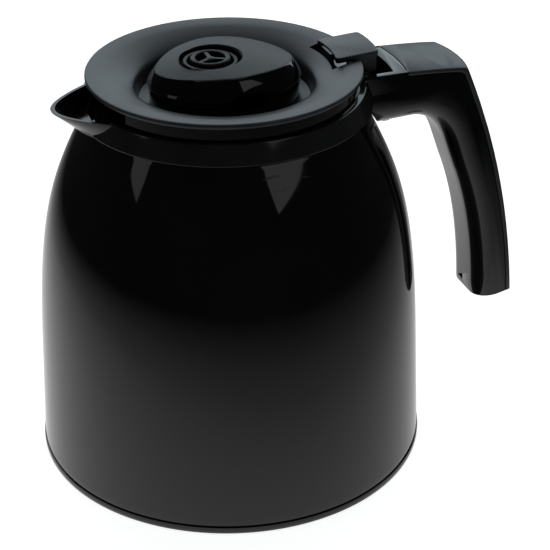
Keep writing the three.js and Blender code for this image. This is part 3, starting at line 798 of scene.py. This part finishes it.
class JUG_OT_collar(bpy.types.Operator):
    """Make the collar on the casing with the open spout moulded on it"""

    bl_idname = "coffee_jug.collar"
    bl_label = "Collar and Spout"

    def execute(self, context):
        size = in_mm(context.scene.jug_sizes)
        rings = context.scene.jug_studio.rings
        low_z, top_z = size.collar_low, size.collar_top
        wide, narrow = size.collar_low_radius, size.collar_top_radius
        ring = spun([
            (44, 149.3), (52.5, 149.3), (52.5, low_z), (wide - 0.5, low_z), (wide - 0.15, low_z + 0.12),
            (wide, low_z + 0.45), (narrow + 0.16, top_z - 0.7), (narrow - 0.1, top_z - 0.2),
            (narrow - 0.6, top_z), (44, top_z),
        ], rings)
        reach, half = size.spout_reach, size.spout_half_width
        outside = spout_form([
            (spout_outline(60.4, half - 1, 0), 149.9),
            (spout_outline(62.6, half - 0.7, 0), 152),
            (spout_outline(66.2, half - 0.25, 0), 155),
            (spout_outline(reach - 0.3, half, 0), top_z - 0.9),
            (spout_outline(reach, half, 0), top_z - 0.2),
        ])
        wall = size.spout_wall
        channel = spout_form([
            (spout_outline(61.5, half - 1, wall), size.spout_bed),
            (spout_outline(63.6, half - 0.7, wall), size.spout_bed + 1.6),
            (spout_outline(66.6, half - 0.3, wall), 155.4),
            (spout_outline(reach, half, wall), top_z - 0.2),
            (spout_outline(reach, half, wall), top_z + 6),
        ])
        throat = rod(size.collar_bore, 100, 180, steps=rings)
        under = spun([
            (51.5, 125), *casing_line(-0.3, 125, size.shoulder_top, 24), (54.6, low_z), (54, low_z),
            (54, size.neck_top + 0.3), (51.5, size.neck_top + 0.3),
        ], rings)
        shape = cut(join(ring, outside), throat, under, channel)
        black = finish_of("collar black")
        place(clean_flats(shape), "collar", "jug", "gloss_black", "pouring_collar", black, sharp=26)
        return {"FINISHED"}


# ------------------------------------------------------------------ handle


def handle_outline(size, inset=0):
    """The handle's side view as (x, z) points. The outer line can be moved in."""
    top = size.arm_top + 0.2 - inset
    end = size.grip_end
    outer = [(50, top), (72, top)]
    outer += bend((72, top), (88, 158.4 - inset), (96.4 - 0.8 * inset, 157.2 - inset), 14)[1:]
    outer += bend(outer[-1], (98.2 - inset, 156.8 - inset), (98.9 - inset, 154.8 - 0.5 * inset), 6)[1:]
    outer += bend(outer[-1], (120 - inset, 105), (123.6 - inset, end), 40)[1:]
    return outer


def handle_inner_line(size):
    """The finger side of the handle, from the grip's end up to the casing."""
    line_points = bend((108.6, size.grip_end - 3.2), (107.4, 84), (97, 110), 24)
    line_points += bend((93.4, 120.5), (88, 136.9), (76, 136.7), 14)
    return line_points + [(50, 135.6)]


def cover_strip(size, outside, inside):
    """The side view of the strip between two moved-in copies of the outer line."""
    return handle_outline(size, outside)[1:] + handle_outline(size, inside)[:0:-1]


class JUG_OT_handle(bpy.types.Operator):
    """Make the handle, its cover strip and the two screws that hold it"""

    bl_idname = "coffee_jug.handle"
    bl_label = "Handle"

    def blank(self, size):
        """The whole handle before it is parted: finger edges well rounded, outer edges crisp."""
        bm = side_slab(handle_outline(size) + handle_inner_line(size), size.half_width)
        inner = {(round(x, 2), round(z, 2)) for x, z in handle_inner_line(size)}

        def on_finger_side(edge):
            ends = [(round(v.co.x, 2), round(v.co.z, 2)) for v in edge.verts]
            return all(end in inner for end in ends) and abs(edge.verts[0].co.y - edge.verts[1].co.y) < 1
        return soften(bm, 9.4, over=60, segments=12, where=on_finger_side)

    def sliced(self, bm, size):
        """Cuts the handle's faces lengthwise, so that the outer one can be bowed."""
        for step in range(-5, 6):
            bmesh.ops.bisect_plane(
                bm, geom=[*bm.verts, *bm.edges, *bm.faces], plane_co=(0, step * size.half_width / 6, 0),
                plane_no=(0, 1, 0),
            )
        return bm

    def bowed(self, bm, size):
        """Bows the handle's outer face outwards between its two edges."""
        outer = [point for point in handle_outline(size) if point[0] > 84]
        for v in bm.verts:
            if min(math.hypot(v.co.x - x, v.co.z - z) for x, z in outer) < 0.02:
                across = 1 - (v.co.y / size.half_width) ** 2
                fade = min(1, (v.co.x - 84) / 12) * min(1, (v.co.z - size.grip_end) / 60)
                v.co.x += COVER_BULGE * across * fade
        return bm

    def execute(self, context):
        size = in_mm(context.scene.handle_sizes)
        jug = in_mm(context.scene.jug_sizes)
        rings = context.scene.jug_studio.rings
        gloss, satin = finish_of("gloss black"), finish_of("satin black")
        gap = size.seam_gap
        outside_cover = cut(
            side_slab(cover_strip(size, -6, size.cover_thickness), 30), rod(size.seam_radius, 30, 180, steps=rings)
        )
        lid_space = spun([
            (0, 130), *casing_line(-0.6, 130, jug.shoulder_top, 12), (jug.collar_low_radius + 0.3, 150.2),
            (jug.collar_low_radius + 0.3, 151.1),
            (jug.collar_top_radius + 0.3, jug.collar_top - 0.4), (jug.collar_top_radius + 0.3, 175), (0, 175),
        ], rings)
        well = common(
            block((50, 70), (-size.well_half_width, size.well_half_width), (size.well_floor, 175)),
            rod(size.well_radius, 140, 180, steps=rings),
        )
        hollow = side_slab([
            (76, 156), (76, 141), *bend((84, 141), (91, 140.4), (97.4, 123), 8), (101, 112),
            *bend((104, 104), (111.5, 84), (112.8, 54), 8), (116, 54), (117.5, 70), (114, 100), (95, 152),
        ], size.half_width - 3)
        window = block((100, 116), (1.5, 5.5), (49.2, 52.4))
        lug = block((50, 70.3), (-8.3, 8.3), (139.2, 144.8))
        drill = [rod(1.6, 130, 141, size.screw_x, y, 24) for y in (-5, 5)]
        sinks = [rod(3.2, 130, 137.6, size.screw_x, y, 32) for y in (-5, 5)]
        body = cut(self.blank(size), outside_cover, lid_space, well, hollow, window, lug, *drill, *sinks)
        clean_flats(body)
        place(soften(body, 0.35, over=50), "handle", "jug", "gloss_black", "handle_body", gloss)

        cover = common(
            self.sliced(self.blank(size), size),
            cut(side_slab(cover_strip(size, -6, size.cover_thickness - gap), 30),
                rod(size.seam_radius + gap, 30, 180, steps=rings)),
        )
        clean_flats(self.bowed(cover, size))
        place(soften(cover, 0.45, over=50), "handle_strip", "jug", "satin_black", "handle_cover", satin)

        for name, y in (("handle_screw_front", -5), ("handle_screw_rear", 5)):
            head = spun([(0, 135.2), (1.6, 135.2), (2.5, 135.7), (2.8, 136.4), (2.8, 137.3), (0.9, 137.3),
                         (0.9, 143.6), (0.5, 144), (0, 144)], 32)
            bmesh.ops.translate(head, verts=head.verts, vec=(size.screw_x, y, 0))
            slot = block((size.screw_x - 3, size.screw_x + 3), (y - 0.4, y + 0.4), (134, 136.1))
            place(cut(head, slot), f"{name}_turned", "jug", "steel", name, finish_of("steel"))
        return {"FINISHED"}


# ------------------------------------------------------------------ lid


def dish_line(size):
    """The dish's upper surface as (radius, height), from the rim's lower edge to its floor."""
    rim, top = size.rim_radius, size.rim_height
    slope = spline([
        (53.2, top - 0.06), (50, 165.6), (46, 164.9), (40, 162.9), (36, 160.3), (34.6, 157.4), (34, 155),
    ], 28)
    return [
        (rim - 0.25, 164), (rim - 0.05, 164.3), (rim, 164.8), (rim - 0.06, 165.3), (rim - 0.3, 165.7),
        (rim - 0.75, top), *slope, (33.7, 154.3), (33, size.moat_floor), (14, size.moat_floor),
    ]


class JUG_OT_lid(bpy.types.Operator):
    """Make the lid: its dish, its plug with the skirt, and the plug's seal"""

    bl_idname = "coffee_jug.lid"
    bl_label = "Lid"

    def dish(self, size, rings):
        """The dish as a thin wall with the notch for the thumb tab."""
        underside = spline([
            (35.4, 153.4), (35.9, 157.2), (37.2, 159.7), (40.9, 161.7), (46.4, 163.55), (51.6, 164.3),
        ], 20)
        wall = spun([*dish_line(size), (14, 152.6), (34.4, 152.6), *underside, (52.3, 164)], rings)
        notch = cut(
            block((20, 80), (-size.notch_half_width, size.notch_half_width), (150, 180)),
            rod(size.notch_radius, 140, 190, steps=rings),
        )
        drain = rod(size.port_radius + 1, 150, 156, INLET_CENTRE)
        return cut(wall, notch, drain)

    def execute(self, context):
        size = in_mm(context.scene.lid_sizes)
        rings = context.scene.jug_studio.rings
        gloss, satin = finish_of("gloss black"), finish_of("satin black")
        dish = self.dish(size, rings)
        place(dish, "dish", "lid", "satin_black", "lid_dish", satin, sharp=32)

        skirt, plug, floor = size.skirt_radius, size.plug_radius, size.plug_floor
        cup = spun([
            (0, floor), (43, floor), (44.6, floor + 0.7), (plug - 0.3, floor + 2.2), (plug, floor + 3),
            (plug, 140), (45.6, 140), (45.6, 143.4), (plug, 143.4), (plug, 158.9), (skirt - 0.3, 158.9), (skirt, 159.2),
            (skirt, 163.7), (skirt - 1.4, 163.7), (skirt - 1.4, 160.4), (plug - 1.2, 160.4),
            (plug - 1.2, floor + 3.4), (43, floor + 1.8), (0, floor + 1.8),
        ], rings)
        inner = plug - 1.2
        gate = cut(block((-60, -30), (-21, 21), (152.2, 158.6)), rod(40, 140, 170, steps=rings))
        wedge = [(0, 0), *arc(60, math.pi - 0.48, math.pi + 0.48, 12)]
        opening = cut(slab(wedge, 158.4, 170), rod(inner, 140, 175, steps=rings))
        rear = cut(
            block((20, 80), (-size.notch_half_width, size.notch_half_width), (156.5, 175)),
            rod(size.notch_radius - 1, 140, 180, steps=rings),
        )
        shell = cut(cup, gate, opening, rear, rod(size.port_radius, 130, 140, INLET_CENTRE, steps=64))
        spokes = [spoke(size.port_radius + 1, 1.6, floor, floor + 1.8, i) for i in range(3)]
        ears = [
            block((PIVOT_X - 3.4, PIVOT_X + 3.4), across, (floor + 1, size.pivot_height + 3.2))
            for across in ((-9.6, -7.6), (7.6, 9.6))
        ]
        whole = join(shell, rod(5.6, floor, floor + 2.4, INLET_CENTRE), *spokes, *ears)
        bore = rod(3.3, 130, 140, INLET_CENTRE)
        plug_shape = cut(whole, bore, cross_rod(1.8, 12, PIVOT_X, size.pivot_height))
        place(clean_flats(plug_shape), "plug", "lid", "gloss_black", "lid_body", gloss)

        seal = spun([
            (45.9, 140.3), (46.8, 140.3), (47.1, 140.6), (47.2, 141), (47.05, 141.4), (46.85, 141.7),
            (47.05, 142), (47.2, 142.4), (47.1, 142.8), (46.8, 143.1), (45.9, 143.1),
        ], rings)
        place(seal, "plug_seal", "lid", "silicone", "lid_seal", finish_of("silicone"))
        return {"FINISHED"}


def spoke(reach, half_width, lowest, highest, index):
    """One of three bars that run out from the valve's axis."""
    bar = block((0, reach), (-half_width, half_width), (lowest, highest))
    turn = Matrix.Rotation(math.pi / 2 + index * TURN / 3, 3, "Z")
    bmesh.ops.rotate(bar, verts=bar.verts, cent=(0, 0, 0), matrix=turn)
    bmesh.ops.translate(bar, verts=bar.verts, vec=(INLET_CENTRE, 0, 0))
    return bar


# ------------------------------------------------------------------ inlet


class JUG_OT_inlet(bpy.types.Operator):
    """Make the oval inlet tower and the domed cap on it"""

    bl_idname = "coffee_jug.inlet"
    bl_label = "Inlet"

    def windows(self):
        """The shape of the long window with round ends that goes through both sides."""
        outline = arc(3.3, math.pi / 2, 1.5 * math.pi, 16, (-2.2, 160.9))
        return side_slab(outline + arc(3.3, -math.pi / 2, math.pi / 2, 16, (5.6, 160.9)), 40)

    def tower(self, size):
        """An oval wall with a floor and a long window in each side."""
        long, wide, wall = size.tower_length, size.tower_width, 2.0
        base, top = size.moat_floor + 0.3, size.cap_foot - 0.25
        wall_form = skin([
            oval(long - 0.5, wide - 0.4, base), oval(long - 0.1, wide - 0.1, base + 3), oval(long, wide, top - 0.3),
            oval(long - 0.25, wide - 0.25, top), oval(long - wall, wide - wall, top),
            oval(long - wall - 0.6, wide - wall - 0.5, base + 1.6), oval(15, 15, base + 1.6, centre=INLET_CENTRE),
            oval(15, 15, base, centre=INLET_CENTRE),
        ], 128)
        return cut(wall_form, self.windows())

    def cap(self, size):
        """A dome with a crisp edge round its face, a bulging flank, a drawn-in foot and the inlet's well."""
        long, wide, rim, foot = size.cap_length, size.cap_width, size.cap_rim, size.cap_foot
        face_long, face_wide, crown = size.face_length, size.face_width, size.crown
        hole = size.inlet_radius

        def dome(share, lift=0.0, half_length=face_long, half_width=face_wide, radius=hole):
            """A station on the crown, from the inlet's edge (0) to the face's edge (1)."""
            outer = oval(half_length, half_width, 0, power=FACE_POWER)

            def point(angle):
                circle = Vector((INLET_CENTRE + radius * math.cos(angle), radius * math.sin(angle), 0))
                flat = circle.lerp(outer(angle), share)
                flat.z = crown + 0.3 - 0.0055 * flat.x**2 - 0.0029 * flat.y**2 + lift
                return flat
            return point

        edge, lowered = dome(1.0, -0.12), dome(1.0, -0.45, face_long + 0.4, face_wide + 0.4)
        widest = oval(long, wide, rim)

        def flank(share):
            """A station between the face's edge (0) and the rim (1), bulging outwards."""
            def point(angle):
                top, bottom = lowered(angle), widest(angle)
                flat = top.lerp(bottom, share)
                reach = share + FLANK_BULGE * share * (1 - share)
                flat.x = top.x + (bottom.x - top.x) * reach
                flat.y = top.y + (bottom.y - top.y) * reach
                return flat
            return point

        def circle(radius, height):
            return oval(radius, radius, height, centre=INLET_CENTRE)

        floor = 167.0
        outside = [
            oval(long - 2.6, wide - 2.6, foot), oval(long - 1.1, wide - 1.1, foot),
            oval(long - 0.85, wide - 0.85, foot + 0.2), oval(long - 0.2, wide - 0.2, rim - 0.55),
            oval(long - 0.03, wide - 0.03, rim - 0.2),
            *[flank(1 - i / 10) for i in range(11)], edge, dome(0.985, -0.02),
        ]
        face = [dome(share / 12) for share in range(11, 0, -1)]
        well = [
            dome(0.03, -0.02), circle(hole, crown - 0.7), circle(hole - 0.1, floor + 0.5), circle(hole - 0.6, floor),
            circle(11.1, floor), circle(10.8, floor + 0.3), circle(10.8, 169.5), circle(10.5, 169.9),
            circle(9.5, 169.9), circle(9.2, 169.6), circle(9.2, 163.5), circle(10.8, 163.5), circle(10.8, 166.2),
            circle(hole + 1.2, 166.2),
        ]
        inside = [
            dome(0.08, -1.7), dome(0.5, -1.7), dome(0.97, -2.0, face_long - 1.2, face_wide - 1.2),
            oval(long - 2.2, wide - 2.2, rim),
        ]
        form = skin(outside + face + well + inside, 128)
        form = cut(form, self.windows())
        for polygon in form.faces:
            middle = polygon.calc_center_median()
            on_face = (abs(middle.x) / face_long) ** FACE_POWER + (abs(middle.y) / face_wide) ** FACE_POWER < 0.995
            from_axis = math.hypot(middle.x - INLET_CENTRE, middle.y)
            polygon.material_index = int(on_face and from_axis > 9 and polygon.normal.z > 0.5)
        return form

    def execute(self, context):
        size = in_mm(context.scene.lid_sizes)
        gloss = finish_of("gloss black")
        place(self.tower(size), "tower", "lid", "gloss_black", "inlet_tower", gloss)
        cap = self.cap(size)
        place(cap, "cap", "lid", "grained_black", "inlet_cap", gloss, finish_of("grained black"), sharp=28)
        return {"FINISHED"}


# ------------------------------------------------------------------ valve and lever


class JUG_OT_valve(bpy.types.Operator):
    """Make the valve: its wheel, stem, disc, seal and spring"""

    bl_idname = "coffee_jug.valve"
    bl_label = "Valve"

    def wheel(self, size):
        """The round grille on top of the stem."""
        outer, top = size.wheel_radius, size.wheel_top
        rim = spun([
            (outer - 2.2, 168.3), (outer - 0.3, 168.3), (outer, 168.6), (outer, top - 0.9), (outer - 0.25, top - 0.3),
            (outer - 0.75, top), (outer - 1.5, top), (outer - 2.0, top - 0.3), (outer - 2.2, top - 0.9),
        ], 96)
        bmesh.ops.translate(rim, verts=rim.verts, vec=(INLET_CENTRE, 0, 0))
        bars = [soften(spoke(outer - 1.2, 0.9, 169, top - 0.35, i), 0.3) for i in range(3)]
        hub = spun([
            (0, 167.5), (1.9, 167.5), (1.9, top - 0.9), (1.6, top - 0.45), (1.1, top - 0.3), (0, top - 0.25),
        ], 32, centre=INLET_CENTRE)
        return join(rim, hub, *bars)

    def spring(self):
        """Five coils of round wire."""
        bm = bmesh.new()
        wire = bmesh.ops.create_circle(
            bm, segments=10, radius=WIRE_RADIUS,
            matrix=Matrix.Translation((4.5, 0, SPRING_FOOT + WIRE_RADIUS)) @ Matrix.Rotation(math.pi / 2, 4, "X"),
        )["verts"]
        edges = bm.edges[:]
        bm.faces.new(wire)
        end = bmesh.ops.spin(
            bm, geom=wire + edges, axis=(0, 0, 1), cent=(0, 0, 0), angle=SPRING_COILS * TURN, steps=SPRING_STEPS,
            dvec=(0, 0, (SPRING_HEAD - SPRING_FOOT - 2 * WIRE_RADIUS) / SPRING_STEPS), use_merge=False,
        )["geom_last"]
        bm.faces.new([g for g in end if isinstance(g, bmesh.types.BMVert)])
        bmesh.ops.translate(bm, verts=bm.verts, vec=(INLET_CENTRE, 0, 0))
        bmesh.ops.recalc_face_normals(bm, faces=bm.faces)
        return bm

    def place_spring(self, steel):
        """Makes the spring a piece in the world's frame and hides the model's spring."""
        piece = smooth_piece(self.spring(), "spring", steel)
        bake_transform(piece)
        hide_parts("valve_spring")

    def execute(self, context):
        size = in_mm(context.scene.lid_sizes)
        grained, inside, steel = finish_of("grained black"), finish_of("inside black"), finish_of("steel")
        place(self.wheel(size), "wheel", "valve", "grained_black", "inlet_wheel", grained)
        stem = spun([
            (0, 133.5), (3, 133.5), (3, 144.2), (8.7, 144.2), (9, 144.5), (9, 145.4), (8.7, 145.7), (3, 145.7),
            (3, 167.6), (2.6, 168), (0, 168),
        ], 48, centre=INLET_CENTRE)
        place(stem, "stem", "valve", "gloss_black", "valve_stem", inside)
        disc = spun([(0, 131.2), (15.2, 131.2), (15.8, 131.7), (15.8, 133), (15.6, 133.2), (0, 133.2)], 72,
                    centre=INLET_CENTRE)
        place(disc, "valve_plate", "valve", "gloss_black", "valve_disc", inside)
        ring = spun([(13, 133.5), (15.9, 133.5), (16.2, 133.8), (16.2, 134.4), (15.9, 134.7), (13, 134.7)], 72,
                    centre=INLET_CENTRE)
        place(ring, "valve_ring", "valve", "silicone", "valve_seal", finish_of("silicone"))
        self.place_spring(steel)
        return {"FINISHED"}


class JUG_OT_lever(bpy.types.Operator):
    """Make the thumb tab, the arm under the dish and the pin that it turns on"""

    bl_idname = "coffee_jug.lever"
    bl_label = "Thumb Lever"

    def tab(self, size):
        """The plate that the thumb presses, a little higher at its outer edge, on its block."""
        top, inner, outer, half = size.tab_top - 0.1, size.tab_inner, size.tab_outer, size.tab_half_width
        plate = ring_wedge(inner, outer, half, top - size.tab_plate, top, 5)
        corners = [
            e for e in plate.edges
            if abs(e.verts[0].co.z - e.verts[1].co.z) > 1 and abs(abs(e.verts[0].co.y) - half) < 0.01
        ]
        bmesh.ops.bevel(
            plate, geom=corners, offset=1.6, offset_type="OFFSET", segments=5, profile=0.5, affect="EDGES",
            material=-1, clamp_overlap=False,
        )
        soften(plate, 0.4, over=50, segments=3)
        for v in plate.verts:
            v.co.z += 0.9 * (v.co.x - inner) / (outer - inner)
        block_under = ring_wedge(55.8, outer - 0.5, half - 1, 165.3, top - 0.4)
        post = ring_wedge(57, outer - 0.6, half - 1.2, 159.4, top - 0.6)
        bridge = block((42.6, 46), (-4.6, 4.6), (164.4, top - 0.6))
        return join(plate, block_under, post, bridge)

    def execute(self, context):
        size = in_mm(context.scene.lid_sizes)
        satin, inside = finish_of("satin black"), finish_of("inside black")
        place(self.tab(size), "thumb_tab", "lever", "satin_black", "thumb_lever", satin)
        pivot = size.pivot_height
        arm = block((PIVOT_X, 43.7), (-4.4, 4.4), (147, 149.2))
        web = block((42.6, 43.7), (-4.6, 4.6), (147, 165))
        yoke = rod(10, 147, 149.2, INLET_CENTRE, steps=64)
        noses = block((INLET_CENTRE - 1.2, INLET_CENTRE + 1.2), (-8.6, 8.6), (146, 148))
        barrel = cross_rod(3.2, 7.2, PIVOT_X, pivot)
        whole = join(arm, web, yoke, noses, barrel)
        shape = cut(whole, rod(5, 140, 155, INLET_CENTRE), cross_rod(1.8, 12, PIVOT_X, pivot))
        place(soften(clean_flats(shape), 0.25, over=60), "lever_arm", "lever", "satin_black", "thumb_lever", inside)
        pin = soften(cross_rod(1.5, 9.9, PIVOT_X, pivot), 0.25, over=60)
        place(pin, "pin", "lid", "steel", "lever_pin", finish_of("steel"))
        return {"FINISHED"}


# ------------------------------------------------------------------ studio


class JUG_OT_studio(bpy.types.Operator):
    """Make the floor, the lights and the camera"""

    bl_idname = "coffee_jug.studio"
    bl_label = "Studio"

    def execute(self, context):
        settings = context.scene.jug_studio
        colours = context.scene.jug_finishes
        scene = context.scene
        self.world(scene)
        self.floor(colours.floor)
        self.lights(settings)
        self.camera(scene, settings)
        scene.view_settings.view_transform = "Standard"
        return {"FINISHED"}

    def world(self, scene):
        """A dark surrounding that the camera sees as white."""
        world = scene.world or bpy.data.worlds.new("studio")
        scene.world = world
        world.use_nodes = True
        tree = world.node_tree
        tree.nodes.clear()
        output = node(tree, "ShaderNodeOutputWorld", (600, 0))
        mix = node(tree, "ShaderNodeMixShader", (300, 0))
        dark = node(tree, "ShaderNodeBackground", (0, 100))
        dark.inputs["Strength"].default_value = 0.022
        white = node(tree, "ShaderNodeBackground", (0, -100))
        for background in (dark, white):
            background.inputs["Color"].default_value = (1, 1, 1, 1)
        white.inputs["Strength"].default_value = 1.0
        tree.links.new(node(tree, "ShaderNodeLightPath", (0, 400)).outputs["Is Camera Ray"], mix.inputs[0])
        tree.links.new(dark.outputs[0], mix.inputs[1])
        tree.links.new(white.outputs[0], mix.inputs[2])
        tree.links.new(mix.outputs[0], output.inputs["Surface"])

    def floor(self, rgb):
        """One wide pale floor, evenly bright to the camera, whose reflection in the jug fades with distance: glossy
        rays see a painted glow instead of the lit floor.
        """
        bm = bmesh.new()
        bmesh.ops.create_grid(bm, x_segments=8, y_segments=8, size=6000)
        mesh = mesh_of(bm, "floor")
        made = bpy.data.materials.new("floor")
        made.use_nodes = True
        tree = made.node_tree
        tree.nodes.clear()
        output = node(tree, "ShaderNodeOutputMaterial", (900, 0))
        lit = node(tree, "ShaderNodeBsdfDiffuse", (0, 300))
        lit.inputs["Color"].default_value = (*rgb, 1)
        glow = node(tree, "ShaderNodeEmission", (0, 150))
        glow.inputs["Strength"].default_value = 0.9
        seen = node(tree, "ShaderNodeAddShader", (300, 200))
        where = node(tree, "ShaderNodeTexCoord", (-900, 0)).outputs["Object"]
        away = node(tree, "ShaderNodeVectorMath", (-700, 0), operation="DISTANCE")
        away.inputs[1].default_value = (-0.036, 0.077, 0)
        tree.links.new(where, away.inputs[0])
        # Painted reflection: glossy rays see an emission that dims with distance from a point just behind the jug's
        # axis. It is painted in place of the floor's own light and shadow.
        ramp = node(tree, "ShaderNodeValToRGB", (-300, 0))
        stops = [
            (0.0, 1.0), (0.217, 0.85), (0.36, 0.58), (0.45, 0.36), (0.6, 0.18), (0.73, 0.09), (0.9, 0.025), (1, 0.018),
        ]
        band = ramp.color_ramp
        while len(band.elements) < len(stops):
            band.elements.new(1.0)
        for element, (position, value) in zip(band.elements, stops):
            element.position, element.color = position, (value, value, value, 1)
        tree.links.new(math_node(tree, "DIVIDE", away.outputs["Value"], 0.6, (-500, 0)), ramp.inputs["Fac"])
        painted_reflection_glow = node(tree, "ShaderNodeEmission", (0, -100))
        tree.links.new(ramp.outputs["Color"], painted_reflection_glow.inputs["Color"])
        mix = node(tree, "ShaderNodeMixShader", (600, 0))
        tree.links.new(lit.outputs[0], seen.inputs[0])
        tree.links.new(glow.outputs[0], seen.inputs[1])
        tree.links.new(node(tree, "ShaderNodeLightPath", (300, 500)).outputs["Is Glossy Ray"], mix.inputs[0])
        tree.links.new(seen.outputs[0], mix.inputs[1])
        tree.links.new(painted_reflection_glow.outputs[0], mix.inputs[2])
        tree.links.new(mix.outputs[0], output.inputs["Surface"])
        mesh.materials.append(made)
        floor = bpy.data.objects.new("floor", mesh)
        bpy.context.scene.collection.objects.link(floor)

    def panel(self, name, corners, strength):
        """A glowing panel whose corners lie in the given directions (degrees round, degrees up)."""
        bm = bmesh.new()
        middle = Vector((0, 0, 0.14))
        points = []
        for around, above in corners:
            turn, rise = math.radians(around + CAMERA_TURN), math.radians(above)
            aim = Vector((math.sin(turn) * math.cos(rise), math.cos(turn) * math.cos(rise), math.sin(rise)))
            points.append((middle + aim * PANEL_DISTANCE) / MM)
        verts, _ = loop(bm, points)
        bm.faces.new(verts)
        mesh = mesh_of(bm, name)
        made = bpy.data.materials.new(name)
        made.use_nodes = True
        tree = made.node_tree
        tree.nodes.clear()
        glow = node(tree, "ShaderNodeEmission", (0, 0))
        glow.inputs["Strength"].default_value = strength
        tree.links.new(glow.outputs[0], node(tree, "ShaderNodeOutputMaterial", (300, 0)).inputs["Surface"])
        mesh.materials.append(made)
        made_panel = bpy.data.objects.new(name, mesh)
        made_panel.visible_camera = False
        bpy.context.scene.collection.objects.link(made_panel)

    def lights(self, settings):
        """A broad light overhead and behind, and two softboxes in front."""
        heading = Vector((math.sin(math.radians(CAMERA_TURN)), math.cos(math.radians(CAMERA_TURN)), 0))
        for name, size, rise, distance, radiance in (
            ("rear", (3.6, 1.65), 27, 2.2, settings.overhead), ("overhead", (2.6, 2.6), 84, 2.0, 0.3)
        ):
            data = bpy.data.lights.new(name, "AREA")
            data.shape = "RECTANGLE"
            data.size, data.size_y = size
            data.energy = 4 * size[0] * size[1] * radiance
            data.color = LIGHT_COLOUR
            light = bpy.data.objects.new(name, data)
            angle = math.radians(rise)
            aim = heading * math.cos(angle) + Vector((0, 0, math.sin(angle)))
            light.location = Vector((0, 0, 0.15)) + aim * distance
            light.rotation_mode = "QUATERNION"
            light.rotation_quaternion = (-aim).to_track_quat("-Z", "Y")
            light.visible_camera = False
            bpy.context.scene.collection.objects.link(light)
        left = [(-102, 23.5), (-121, 28.3), (-117.2, 15.8), (-106.6, 18.4)]
        right = [(108.3, 23.7), (150.6, 33.5), (143.2, 19.4), (122.7, 22.7)]
        self.panel("left softbox", left, 0.5 * settings.front)
        self.panel("right softbox", right, 0.58 * settings.front)

    def camera(self, scene, settings):
        """The camera, a little above the jug and to its right."""
        data = bpy.data.cameras.new("camera")
        data.lens, data.sensor_width = settings.lens, 36
        camera = bpy.data.objects.new("camera", data)
        scene.collection.objects.link(camera)
        pitch, roll = math.radians(CAMERA_PITCH), math.radians(CAMERA_ROLL)
        heading = Vector((0.342, 0.940, 0)).normalized()
        aim = heading * math.cos(pitch) - Vector((0, 0, math.sin(pitch)))
        camera.location = CAMERA_PLACE
        camera.rotation_mode = "QUATERNION"
        camera.rotation_quaternion = aim.to_track_quat("-Z", "Y") @ Quaternion((0, 0, 1), roll)
        scene.camera = camera


class JUG_PT_sidebar(bpy.types.Panel):
    """The jug's pieces and settings"""

    bl_idname = "JUG_PT_sidebar"
    bl_label = "Coffee Jug"
    bl_space_type = "VIEW_3D"
    bl_region_type = "UI"
    bl_category = "Coffee Jug"

    def draw(self, context):
        for operator in OPERATORS:
            self.layout.operator(operator.bl_idname)
        for attribute, group in SETTINGS.items():
            box = self.layout.box()
            box.label(text=group.__doc__)
            for name in group.__annotations__:
                box.prop(getattr(context.scene, attribute), name)


SETTINGS = {
    "jug_sizes": JugSizes,
    "handle_sizes": HandleSizes,
    "lid_sizes": LidSizes,
    "jug_finishes": JugFinishes,
    "jug_studio": StudioSettings,
}
OPERATORS = [
    JUG_OT_materials, JUG_OT_casing, JUG_OT_flask, JUG_OT_collar, JUG_OT_handle, JUG_OT_lid, JUG_OT_inlet,
    JUG_OT_valve, JUG_OT_lever, JUG_OT_studio,
]


def register():
    """Adds the settings, operators and panel."""
    for cls in [*SETTINGS.values(), *OPERATORS, JUG_PT_sidebar]:
        bpy.utils.register_class(cls)
    for attribute, group in SETTINGS.items():
        setattr(bpy.types.Scene, attribute, PointerProperty(type=group))


def unregister():
    """Takes them away again."""
    for attribute in SETTINGS:
        delattr(bpy.types.Scene, attribute)
    for cls in reversed([*SETTINGS.values(), *OPERATORS, JUG_PT_sidebar]):
        bpy.utils.unregister_class(cls)


def main():
    """Builds everything in order."""
    register()
    bpy.ops.coffee_jug.materials()
    bpy.ops.coffee_jug.casing()
    bpy.ops.coffee_jug.flask()
    bpy.ops.coffee_jug.collar()
    bpy.ops.coffee_jug.handle()
    bpy.ops.coffee_jug.lid()
    bpy.ops.coffee_jug.inlet()
    bpy.ops.coffee_jug.valve()
    bpy.ops.coffee_jug.lever()
    bpy.ops.coffee_jug.studio()
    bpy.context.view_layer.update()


if __name__ == "__main__":
    main()
